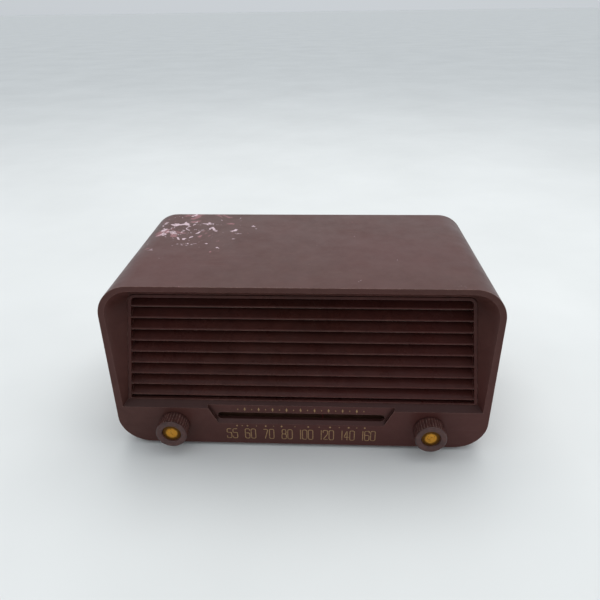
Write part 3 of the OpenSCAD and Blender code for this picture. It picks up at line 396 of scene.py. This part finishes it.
FINISHES = {
    "bakelite": lambda: bakelite("bakelite", (0.068, 0.0255, 0.0205), (0.080, 0.0315, 0.0260),
                                 (0.088, 0.0265, 0.0245), marked=True),
    "louvre_bakelite": lambda: bakelite("louvre_bakelite", (0.046, 0.0125, 0.0095),
                                        (0.066, 0.0190, 0.0140), (0.080, 0.0170, 0.0160), rough=0.28,
                                        painted_shade_share=0.2),
    "knob_bakelite": knob_bakelite,
    "aged_brass": aged_brass,
    "grille_cloth": grille_cloth,
    "rubber": lambda: moulded("rubber", (0.010, 0.010, 0.010), (0.030, 0.029, 0.028), 0.78),
    "fibreboard": fibreboard,
    "screw_steel": lambda: metal("screw_steel", (0.62, 0.60, 0.55), (0.34, 0.32, 0.29), 0.38, stained=0.5),
    "dial_card": dial_card,
    "pointer_paint": lambda: moulded("pointer_paint", (0.11, 0.012, 0.010), (0.17, 0.026, 0.020), 0.42),
    "cord_fabric": cord_fabric,
    "plated_steel": lambda: metal("plated_steel", (0.58, 0.57, 0.53), (0.36, 0.35, 0.32), 0.42,
                                  stained=0.45),
    "shaft_steel": lambda: metal("shaft_steel", (0.66, 0.64, 0.60), (0.44, 0.43, 0.40), 0.28,
                                 grain=(0.1, 1, 1)),
    "cast_aluminium": lambda: metal("cast_aluminium", (0.74, 0.74, 0.72), (0.52, 0.52, 0.50), 0.36,
                                    stain=(0.40, 0.38, 0.33), grain=(1, 1, 0.2)),
    "glass": bulb_glass,
    "phenolic": lambda: moulded("phenolic", (0.060, 0.028, 0.014), (0.150, 0.078, 0.040), 0.52),
    "ivory_plastic": lambda: moulded("ivory_plastic", (0.42, 0.36, 0.24), (0.62, 0.55, 0.40), 0.45),
    "copper_wire": lambda: windings("copper_wire", (0.10, 0.035, 0.012), (0.42, 0.17, 0.06), "Y", 1200),
    "spring_steel": lambda: metal("spring_steel", (0.55, 0.56, 0.58), (0.34, 0.35, 0.37), 0.3),
    "cone_paper": cone_paper,
    "yoke_steel": lambda: moulded("yoke_steel", (0.060, 0.058, 0.054), (0.140, 0.136, 0.128), 0.5,
                                  bump_mm=0.06, Metallic=0.6),
    "wax_paper": lambda: moulded("wax_paper", (0.34, 0.22, 0.075), (0.58, 0.42, 0.17), 0.42,
                                 Coat_Weight=0.3),
    "black_plastic": lambda: moulded("black_plastic", (0.012, 0.012, 0.012), (0.035, 0.034, 0.033), 0.4),
}
materials = {slot: make() for slot, make in FINISHES.items()}
gilt_paint = gilt()

for name, obj in nodes.items():
    for place in obj.material_slots:
        place.link = "OBJECT"
        place.material = materials[slot_of_node[name]]


# ---------- Helpers that make pieces ----------

def add_piece(name, mesh, node, slot=None, material=None, replaces=True, sharp=38):
    """Puts a mesh in the scene with its finish; it stands for the CAD node and rides on its body."""
    obj = bpy.data.objects.new(name, mesh)
    bpy.context.scene.collection.objects.link(obj)
    mesh.materials.clear()
    mesh.materials.append(material or materials[slot or slot_of_node[node]])
    mesh.shade_smooth()
    mesh.set_sharp_from_angle(angle=math.radians(sharp))
    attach(obj, body_of_node[node])
    if replaces:
        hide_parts(node)
    return obj


def mesh_of(name, verts, faces):
    mesh = bpy.data.meshes.new(name)
    mesh.from_pydata([tuple(v) for v in verts], [], faces)
    mesh.validate()
    return mesh


# Corners nearer than this are joined before rounding; a rounded copy may also stray this much further
SHORTEST_EDGE = 0.05 * MM
# How many widths are tried, each half of the one before
ROUNDING_TRIES = 4
# Faces within this angle of each other are merged first, so that only real edges are rounded
FLAT_ANGLE = math.radians(0.4)


def rounded_edges(node, width, sharp, segments):
    """A copy of the CAD mesh with every edge sharper than an angle bevelled to one width."""
    bm = bmesh.new()
    bm.from_mesh(nodes[node].data)
    bmesh.ops.remove_doubles(bm, verts=bm.verts, dist=SHORTEST_EDGE)
    bmesh.ops.dissolve_limit(bm, angle_limit=FLAT_ANGLE, verts=bm.verts, edges=bm.edges)
    edges = [e for e in bm.edges if len(e.link_faces) == 2 and e.calc_face_angle(0) > math.radians(sharp)]
    bmesh.ops.bevel(bm, geom=edges, offset=width, offset_type="OFFSET", segments=segments,
                    profile=0.5, affect="EDGES", clamp_overlap=False)
    bmesh.ops.triangulate(bm, faces=bm.faces)
    bmesh.ops.recalc_face_normals(bm, faces=bm.faces)
    return bm


def follows_surface(bm, node, width):
    """True when the copy is closed and every triangle's middle and sides lie on the CAD surface."""
    plain = bmesh.new()
    plain.from_mesh(nodes[node].data)
    surface = BVHTree.FromBMesh(plain)
    plain.free()
    reach = width + SHORTEST_EDGE
    for face in bm.faces:
        corners = [v.co for v in face.verts]
        points = [face.calc_center_median()]
        points += [(corners[i] + corners[i - 1]) / 2 for i in range(len(corners))]
        if any(surface.find_nearest(p)[3] > reach for p in points):
            return False
    return all(edge.is_manifold for edge in bm.edges)


def dressed(node, width_mm, name, sharp=32, segments=2):
    """Stands a copy with rounded edges for a CAD node, or leaves the node where no width keeps its shape."""
    width = width_mm * MM
    for _ in range(ROUNDING_TRIES):
        bm = rounded_edges(node, width, sharp, segments)
        if follows_surface(bm, node, width):
            mesh = bpy.data.meshes.new(name)
            bm.to_mesh(mesh)
            bm.free()
            obj = add_piece(name, mesh, node, sharp=60)
            weigh = obj.modifiers.new("weighted", "WEIGHTED_NORMAL")
            weigh.keep_sharp = True
            return
        bm.free()
        width /= 2


def lathe(profile, count, place, radial=None):
    """Closed surface from (radius, depth) pairs that start and end on the axis, along +Y from place."""
    verts, faces = [], []
    for i, (r, y) in enumerate(profile):
        if r == 0:
            verts.append((place[0], place[1] + y, place[2]))
            continue
        for k in range(count):
            a = 2 * math.pi * k / count
            rr = r + (radial(r, y, a) if radial else 0)
            verts.append((place[0] + rr * math.cos(a), place[1] + y, place[2] + rr * math.sin(a)))
    starts, at = [], 0
    for r, y in profile:
        starts.append(at)
        at += 1 if r == 0 else count
    for i in range(len(profile) - 1):
        a, b = starts[i], starts[i + 1]
        one, two = profile[i][0] == 0, profile[i + 1][0] == 0
        for k in range(count):
            m = (k + 1) % count
            if one:
                faces.append((a, b + k, b + m))
            elif two:
                faces.append((a + k, b, a + m))
            else:
                faces.append((a + k, b + k, b + m, a + m))
    return verts, faces


def tube(points, radius, sides=8, closed=False):
    """A round wire along points."""
    verts, faces = [], []
    pts = [Vector(p) for p in points]
    n = len(pts)
    normal = None
    for i, p in enumerate(pts):
        ahead = pts[(i + 1) % n] if closed or i < n - 1 else p
        behind = pts[i - 1] if closed or i > 0 else p
        along = (ahead - behind).normalized()
        if normal is None:
            normal = along.orthogonal().normalized()
        normal = (normal - along * normal.dot(along)).normalized()
        side = along.cross(normal)
        for k in range(sides):
            a = 2 * math.pi * k / sides
            verts.append(p + radius * (math.cos(a) * normal + math.sin(a) * side))
    for i in range(n if closed else n - 1):
        a, b = i * sides, ((i + 1) % n) * sides
        for k in range(sides):
            m = (k + 1) % sides
            faces.append((a + k, a + m, b + m, b + k))
    if not closed:
        faces.append(tuple(range(sides - 1, -1, -1)))
        faces.append(tuple((n - 1) * sides + k for k in range(sides)))
    return verts, faces


def joined(parts):
    verts, faces = [], []
    for v, f in parts:
        base = len(verts)
        verts += v
        faces += [tuple(i + base for i in face) for face in f]
    return verts, faces


# ---------- Cabinet and louvres ----------

dressed("cabinet", 0.5, "cabinet_shell", 30, 3)
dressed("louvre_grille", 0.32, "louvre_panel", 30, 2)
for node, width in (("rubber_feet", 0.6), ("back_screws", 0.25), ("chassis_screws", 0.3),
                    ("ac_inlet", 0.4), ("ac_inlet_pins", 0.3), ("dial_pointer", 0.12),
                    ("chassis", 0.3), ("speaker_yoke", 0.4), ("output_transformer", 0.5),
                    ("if_cans", 0.6), ("filter_capacitor", 0.5), ("speaker_baffle", 0.25),
                    ("volume_pot", 0.3), ("power_switch", 0.3), ("gang_frame", 0.2)):
    dressed(node, width, node + "_edged")


# ---------- Numerals, dots and ornament ----------

# The fascia stands upright above the crease, and leans back by a fixed slope under it
CREASE_Z = 20.3 * MM
CREASE_LEAN = 0.8 / 17.3
# How deep the dial recess is
RECESS = 2.5 * MM


def fascia_y(z):
    """The front of the cabinet under the crease leans back."""
    return FRONT + max(0.0, CREASE_Z - z) * CREASE_LEAN


def rounded_line(points, radius, closed=False, steps=5):
    """A line through 2-D points with its inner corners rounded."""
    pts = [Vector(p) for p in points]
    n = len(pts)
    out = []
    for i, p in enumerate(pts):
        if not closed and i in (0, n - 1):
            out.append(p)
            continue
        a, c = pts[i - 1], pts[(i + 1) % n]
        u, w = (a - p), (c - p)
        r = min(radius, 0.49 * u.length, 0.49 * w.length)
        u.normalize()
        w.normalize()
        start, end = p + u * r, p + w * r
        for k in range(steps + 1):
            t = k / steps
            out.append(start * (1 - t) ** 2 + p * 2 * t * (1 - t) + end * t ** 2)
    return out


def stroke(points, closed, width):
    """A flat band of one width along a 2-D line, as pairs of edge points."""
    n = len(points)
    pairs = []
    for i, p in enumerate(points):
        ahead = points[(i + 1) % n] if closed or i < n - 1 else p
        behind = points[i - 1] if closed or i > 0 else p
        along = (ahead - behind).normalized()
        side = Vector((-along.y, along.x)) * width / 2
        pairs.append((p + side, p - side))
    return pairs


def raised_band(points, closed, width, lift, surface):
    """A thin raised solid over a surface, from a 2-D line in x and z."""
    pairs = stroke(points, closed, width)
    verts, faces = [], []
    for left, right in pairs:
        for q, out in ((left, -lift), (right, -lift), (right, lift), (left, lift)):
            verts.append((q.x, surface(q.y) + out, q.y))
    n = len(pairs)
    for i in range(n if closed else n - 1):
        a, b = 4 * i, 4 * ((i + 1) % n)
        for k in range(4):
            m = (k + 1) % 4
            faces.append((a + k, a + m, b + m, b + k))
    if not closed:
        faces.append((3, 2, 1, 0))
        faces.append(tuple(4 * (n - 1) + k for k in range(4)))
    return verts, faces


# Each digit is one or two lines in a box one wide and one high; True closes a line
DIGITS = {
    "0": [(((0, 0), (1, 0), (1, 1), (0, 1)), True)],
    "1": [(((0.5, 0), (0.5, 1)), False)],
    "2": [(((0, 0.74), (0, 1), (1, 1), (1, 0.60), (0, 0.02), (1.02, 0.02)), False)],
    "4": [(((0.72, 0), (0.72, 1), (0, 0.30), (1.05, 0.30)), False)],
    "5": [(((1, 0.98), (0.04, 0.98), (0, 0.56), (1, 0.60), (1, 0), (0, 0), (0, 0.22)), False)],
    "6": [(((1, 0.80), (1, 1), (0, 1), (0, 0), (1, 0), (1, 0.56), (0.04, 0.56)), False)],
    "7": [(((0, 0.98), (1, 0.98), (0.34, 0)), False)],
    "8": [(((0, 0), (1, 0), (1, 0.53), (0, 0.53)), True),
          (((0.07, 0.53), (0.93, 0.53), (0.93, 1), (0.07, 1)), True)],
}
DIGIT_W, DIGIT_H, DIGIT_STROKE, DIGIT_GAP = 3.5 * MM, 9.7 * MM, 0.62 * MM, 1.15 * MM
DIGIT_Z = 8.1 * MM
DIGIT_CORNER, DIGIT_LIFT = 1.5 * MM, 0.05 * MM
STATIONS = ("55", "60", "70", "80", "100", "120", "140", "160")
# Half the width of the row of numerals
ROW_HALF = 58 * MM


def digit_width(c):
    return DIGIT_STROKE if c == "1" else DIGIT_W


def label_width(text):
    return sum(digit_width(c) for c in text) + DIGIT_GAP * (len(text) - 1)


def numeral(text, centre):
    x = centre - label_width(text) / 2
    made = []
    for c in text:
        w = digit_width(c)
        for line, closed in DIGITS[c]:
            pts = [(x + px * w, DIGIT_Z + pz * DIGIT_H) for px, pz in line]
            smooth = rounded_line(pts, DIGIT_CORNER, closed)
            made.append(raised_band(smooth, closed, DIGIT_STROKE, DIGIT_LIFT, fascia_y))
        x += w + DIGIT_GAP
    return joined(made)


def numeral_row():
    """The labels in one row centred on the dial, with the same gap between each pair."""
    widths = [label_width(text) for text in STATIONS]
    gap = (2 * ROW_HALF - sum(widths)) / (len(STATIONS) - 1)
    made, x = [], -ROW_HALF
    for text, width in zip(STATIONS, widths):
        made.append(numeral(text, x + width / 2))
        x += width + gap
    return joined(made)


numerals = numeral_row()
add_piece("dial_numerals", mesh_of("dial_numerals", *numerals), "cabinet", "aged_brass", gilt_paint, False)


def pip(x, z, radius, lift, y):
    """A low dome on the front."""
    profile = [(0, -lift), (radius * 0.55, -lift * 0.8), (radius * 0.88, -lift * 0.4), (radius, 0),
               (radius, lift), (0, lift)]
    return lathe(profile, 14, (x, y, z))


# The length of scale in which the frequency grows by a factor of e
SCALE_SPREAD = 93 * MM
PIP_Z = 20.9 * MM
# The radius and the height of the dots at the stations, and of those between them
BIG_PIP = (0.72 * MM, 0.22 * MM)
SMALL_PIP = (0.42 * MM, 0.16 * MM)


def scale_x(station):
    """Where a station lies: the scale runs with the logarithm of its frequency."""
    low, high = float(STATIONS[0]), float(STATIONS[-1])
    return SCALE_SPREAD * math.log(station / math.sqrt(low * high))


big = [scale_x(float(text)) for text in STATIONS]
small = [(a + b) / 2 for a, b in zip(big, big[1:])]
pips = joined([pip(x, PIP_Z, *BIG_PIP, FRONT) for x in big]
              + [pip(x, PIP_Z, *SMALL_PIP, FRONT) for x in small])
add_piece("dial_pips", mesh_of("dial_pips", *pips), "cabinet", "aged_brass", gilt_paint, False)


def lozenge(x, z, w, h, lift, y):
    """A small raised diamond with a flat face."""
    verts, faces = [], []
    for out, s in ((lift, 1.0), (-lift * 0.4, 1.0), (-lift, 0.72)):
        verts += [(x - w * s, y + out, z), (x, y + out, z - h * s),
                  (x + w * s, y + out, z), (x, y + out, z + h * s)]
    for ring in (0, 4):
        for k in range(4):
            m = (k + 1) % 4
            faces.append((ring + k, ring + m, ring + 4 + m, ring + 4 + k))
    faces += [(0, 3, 2, 1), (8, 9, 10, 11)]
    return verts, faces


# The row of lozenges: its height, how many stand on each side of the middle one, and their spacing
ORNAMENT_Z, ORNAMENT_HALF, ORNAMENT_STEP = 34.9 * MM, 9, 5.4 * MM
ornament = []
for i in range(-ORNAMENT_HALF, ORNAMENT_HALF + 1):
    tall = i % 2 == 0
    ornament.append(lozenge(i * ORNAMENT_STEP, ORNAMENT_Z, (0.75 if tall else 0.5) * MM,
                            (1.9 if tall else 0.7) * MM, 0.12 * MM, FRONT + RECESS))
add_piece("recess_ornament", mesh_of("recess_ornament", *joined(ornament)), "cabinet", "aged_brass",
          gilt_paint, False)


# ---------- Knobs ----------

KNOB_FLUTES = 32
KNOB_SIDES = KNOB_FLUTES * 8
# How deep a flute is before wear changes it, and how much a chip may take off, in mm
FLUTE_CUT, CHIP_CUT = 0.66, 0.55


def knob_profile(radius, depth):
    """The knob's outline from its bore, round its back and side, and over its rim to the disc."""
    r = radius
    side = [(r, depth - 0.35 - i * (depth - 2.4) / 8) for i in range(9)]
    return ([(0, 4.0), (3.2, 4.0), (3.2, depth), (r - 1.6, depth), (r - 0.3, depth)] + side
            + [(r, 1.7), (r - 0.02, 1.2), (r - 0.15, 0.75), (r - 0.42, 0.36), (r - 0.85, 0.10),
               (r - 1.4, 0.0), (r - 2.0, 0.02), (r - 2.8, 0.10), (r - 3.6, 0.24), (r - 4.2, 0.46),
               (r - 4.6, 0.80), (r - 4.85, 1.25), (r - 4.97, 1.9), (r - 5.0, 2.7), (0, 2.75)])


def make_knob(node, seed):
    """A turned knob with flutes worn unevenly round its side; the seed tells the two knobs apart."""
    lo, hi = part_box(node)
    radius = (hi.x - lo.x) / 2 / MM
    depth = (hi.y - lo.y) / MM
    place = ((lo.x + hi.x) / 2, lo.y, (lo.z + hi.z) / 2)
    profile = [(r * MM, y * MM) for r, y in knob_profile(radius, depth)]

    def radial(r, y, a):
        if r < 0.9 * radius * MM:
            return 0.0
        down = y / MM
        window = min(1.0, max(0.0, (down - 1.0) / 0.9))
        window *= min(1.0, max(0.0, (depth - 0.1 - down) / 0.7))
        flute = (0.5 - 0.5 * math.cos(KNOB_FLUTES * a)) ** 1.4
        worn = noise.noise(Vector((2.2 * math.cos(a) + seed, 2.2 * math.sin(a), down * 0.35)))
        chip = noise.noise(Vector((9 * math.cos(a), 9 * math.sin(a) + seed, down * 0.9)))
        cut = FLUTE_CUT * flute * (0.8 + 0.6 * worn) + CHIP_CUT * max(0.0, chip - 0.05)
        return -MM * (cut * window + 0.03)

    add_piece(node + "_fluted", mesh_of(node, *lathe(profile, KNOB_SIDES, place, radial)), node, sharp=75)


# The share of the disc's radius where its spun rings end and its raised edge starts
DISC_EDGE = 0.86
DISC_STEPS, DISC_SIDES, DISC_THICK = 26, 96, 1.15 * MM


def make_disc(node):
    """The brass disc: a shallow dome with spun rings and a raised edge."""
    lo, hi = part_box(node)
    radius = (hi.x - lo.x) / 2
    place = ((lo.x + hi.x) / 2, lo.y, (lo.z + hi.z) / 2)
    profile = [(0, 0.02 * MM)]
    for i in range(1, DISC_STEPS + 1):
        t = i / DISC_STEPS
        if t < DISC_EDGE:
            ring = 0.035 * math.sin(t * 14 * math.pi)
        else:
            ring = -0.10 * math.sin((t - DISC_EDGE) / (1 - DISC_EDGE) * math.pi)
        profile.append((radius * t, (0.06 + 0.55 * t ** 2.2 + ring) * MM))
    profile += [(radius, DISC_THICK), (0, DISC_THICK)]
    add_piece(node + "_spun", mesh_of(node, *lathe(profile, DISC_SIDES, place)), node, sharp=60)


for node, seed in (("tuning_knob", 3.1), ("volume_knob", 11.7)):
    make_knob(node, seed)
for node in ("tuning_knob_insert", "volume_knob_insert"):
    make_disc(node)


# ---------- Inside pieces ----------

def make_spring():
    """The tension spring of the dial cord, coiled, with a hook at each end."""
    lo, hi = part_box("cord_spring")
    x, y = (lo.x + hi.x) / 2, (lo.y + hi.y) / 2
    coil, wire, turns, per_turn = 1.05 * MM, 0.26 * MM, 17, 12
    count = turns * per_turn
    z0, z1 = lo.z + 2.2 * MM, hi.z - 2.2 * MM
    pts = [(x, y, lo.z + 0.3 * MM), (x, y + 0.3 * MM, lo.z + 1.2 * MM)]
    for i in range(count + 1):
        a = 2 * math.pi * i / per_turn
        pts.append((x + coil * math.cos(a), y + coil * math.sin(a), z0 + (z1 - z0) * i / count))
    pts += [(x, y + 0.3 * MM, hi.z - 1.2 * MM), (x, y, hi.z - 0.3 * MM)]
    add_piece("cord_spring_coil", mesh_of("cord_spring_coil", *tube(pts, wire, 7)), "cord_spring", sharp=60)


def make_antenna():
    """The loop antenna: flat turns of waxed wire on the inside of the back."""
    lo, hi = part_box("loop_antenna")
    y = (lo.y + hi.y) / 2
    turns, first, step = 9, 0.5, 0.86
    parts = []
    for k in range(turns):
        inset = (first + step * k) * MM
        corner = 12 * MM - inset * 0.6
        corners = [(lo.x + inset, lo.z + inset), (hi.x - inset, lo.z + inset),
                   (hi.x - inset, hi.z - inset), (lo.x + inset, hi.z - inset)]
        outline = rounded_line(corners, corner, True, 8)
        parts.append(tube([(p.x, y, p.y) for p in outline], 0.42 * MM, 6, True))
    add_piece("loop_antenna_turns", mesh_of("loop_antenna_turns", *joined(parts)), "loop_antenna", sharp=60)


def box_solid(low, high):
    x0, y0, z0 = low
    x1, y1, z1 = high
    verts = [(x0, y0, z0), (x1, y0, z0), (x1, y1, z0), (x0, y1, z0),
             (x0, y0, z1), (x1, y0, z1), (x1, y1, z1), (x0, y1, z1)]
    faces = [(3, 2, 1, 0), (4, 5, 6, 7), (0, 1, 5, 4), (1, 2, 6, 5), (2, 3, 7, 6), (3, 0, 4, 7)]
    return verts, faces


def upright(profile, count, x, y):
    """A solid turned about a vertical line, from (radius, height) pairs."""
    verts, faces = lathe(profile, count, (0, 0, 0))
    return [(x + vx, y + vz, vy) for vx, vy, vz in verts], [tuple(reversed(f)) for f in faces]


def make_electrodes():
    """Inside each valve: a stem, two mica discs, a ribbed anode with side wings, rods and a getter ring."""
    mica_r, mica_t, ribs = 7.3 * MM, 0.35 * MM, 9
    parts = []
    for node in ("rectifier_valve", "output_valve", "detector_valve", "if_valve", "converter_valve"):
        lo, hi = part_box(node)
        x, y = (lo.x + hi.x) / 2, (lo.y + hi.y) / 2
        low, high = lo.z + 9.5 * MM, hi.z - 14.5 * MM
        parts.append(upright([(0, lo.z + 3 * MM), (4.2 * MM, lo.z + 3 * MM), (2.6 * MM, lo.z + 8 * MM),
                              (0, lo.z + 8 * MM)], 20, x, y))
        for z in (low, high):
            parts.append(upright([(0, z), (mica_r, z), (mica_r, z + mica_t), (0, z + mica_t)], 32, x, y))
        anode = [(0, low + 1.2 * MM)]
        for i in range(ribs + 1):
            z = low + 1.2 * MM + (high - low - 2.4 * MM) * i / ribs
            anode += [(4.4 * MM, z), (4.75 * MM, z + 0.4 * MM)]
        anode.append((0, anode[-1][1]))
        parts.append(upright(anode, 28, x, y))
        for side in (-1, 1):
            parts.append(box_solid((x + side * 5.8 * MM - 0.9 * MM, y - 0.15 * MM, low + MM),
                                   (x + side * 5.8 * MM + 0.9 * MM, y + 0.15 * MM, high - MM)))
            rod_x, rod_y = x + side * 3 * MM, y + 3.6 * MM
            rod = [(rod_x, rod_y, lo.z + 7 * MM), (rod_x, rod_y, high + 2 * MM)]
            parts.append(tube(rod, 0.35 * MM, 8))
        ring = [(x + 2.6 * MM * math.cos(a), y + 2.6 * MM * math.sin(a), high + 3 * MM)
                for a in [math.pi * k / 10 for k in range(20)]]
        parts.append(tube(ring, 0.3 * MM, 6, True))
    add_piece("valve_internals", mesh_of("valve_internals", *joined(parts)), "valve_electrodes", sharp=40)


make_spring()
make_antenna()
make_electrodes()


# ---------- Floor, light and camera ----------

# Half the width of the floor, in metres, so that its edge is lost in the distance
FLOOR = 40
floor_corners = [(-FLOOR, -FLOOR, 0), (FLOOR, -FLOOR, 0), (FLOOR, FLOOR, 0), (-FLOOR, FLOOR, 0)]
floor_mesh = mesh_of("floor", floor_corners, [(0, 1, 2, 3)])
floor = bpy.data.objects.new("floor", floor_mesh)
bpy.context.scene.collection.objects.link(floor)
board = Shader("floor_paint", Specular_IOR_Level=0.25)
shade = board.remap(board.noise(4, 3.0), 0.3, 0.7)
floor_mesh.materials.append(board.finish(board.mix(shade, (0.66, 0.67, 0.66), (0.71, 0.72, 0.71)),
                                         board.remap(board.noise(30), 0.3, 0.7, 0.55, 0.7)))

world = bpy.data.worlds.new("studio")
bpy.context.scene.world = world
world.use_nodes = True
sky = world.node_tree.nodes["Background"]
sky.inputs["Color"].default_value = (0.90, 0.95, 1.0, 1)
# The sky is brighter behind the radio and overhead: its strength grows along SKY_LEAN from SKY_LEVEL
SKY_LEAN = (0, 0.20, 0.58)
SKY_LEVEL = 0.46
where = world.node_tree.nodes.new("ShaderNodeTexCoord")
toward = world.node_tree.nodes.new("ShaderNodeVectorMath")
toward.operation = "DOT_PRODUCT"
toward.inputs[1].default_value = SKY_LEAN
glow = world.node_tree.nodes.new("ShaderNodeMath")
glow.inputs[1].default_value = SKY_LEVEL
world.node_tree.links.new(where.outputs["Generated"], toward.inputs[0])
world.node_tree.links.new(toward.outputs["Value"], glow.inputs[0])
world.node_tree.links.new(glow.outputs[0], sky.inputs["Strength"])


def softbox(name, at, aim, size, power, tint=(1, 1, 1)):
    """A rectangular area light at one point, aimed at another."""
    light = bpy.data.lights.new(name, "AREA")
    light.shape = "RECTANGLE"
    light.size, light.size_y = size
    light.energy = power
    light.color = tint
    obj = bpy.data.objects.new(name, light)
    bpy.context.scene.collection.objects.link(obj)
    obj.location = at
    obj.rotation_mode = "QUATERNION"
    obj.rotation_quaternion = (Vector(aim) - Vector(at)).to_track_quat("-Z", "Y")
    return obj


softbox("overhead", (0.1, 0.40, 1.5), (0, 0.02, 0.1), (1.6, 0.9), 12, (1.0, 0.99, 0.97))
softbox("front_fill", (-0.5, -1.4, 1.5), (0, 0, 0.06), (1.0, 0.8), 2.2, (0.96, 0.98, 1.0))
softbox("right_fill", (1.4, -0.5, 0.9), (0, 0, 0.06), (1.0, 0.8), 2.5)

# The view of the photo
CAMERA_AT = Vector((0.019, -0.415, 0.311))
PITCH, YAW, ROLL = math.radians(27.4), math.radians(-3.0), math.radians(0.8)
forward = Vector((math.sin(YAW) * math.cos(PITCH), math.cos(YAW) * math.cos(PITCH), -math.sin(PITCH)))
level = Vector((math.cos(YAW), -math.sin(YAW), 0))
below = forward.cross(level)
right = level * math.cos(ROLL) + below * math.sin(ROLL)
up = right.cross(forward)
camera_data = bpy.data.cameras.new("camera")
camera_data.sensor_width = 36
camera_data.lens = 34
camera = bpy.data.objects.new("camera", camera_data)
bpy.context.scene.collection.objects.link(camera)
camera.matrix_world = Matrix((
    (right.x, up.x, -forward.x, CAMERA_AT.x),
    (right.y, up.y, -forward.y, CAMERA_AT.y),
    (right.z, up.z, -forward.z, CAMERA_AT.z),
    (0, 0, 0, 1)))
bpy.context.scene.camera = camera
bpy.context.scene.view_settings.view_transform = "Standard"
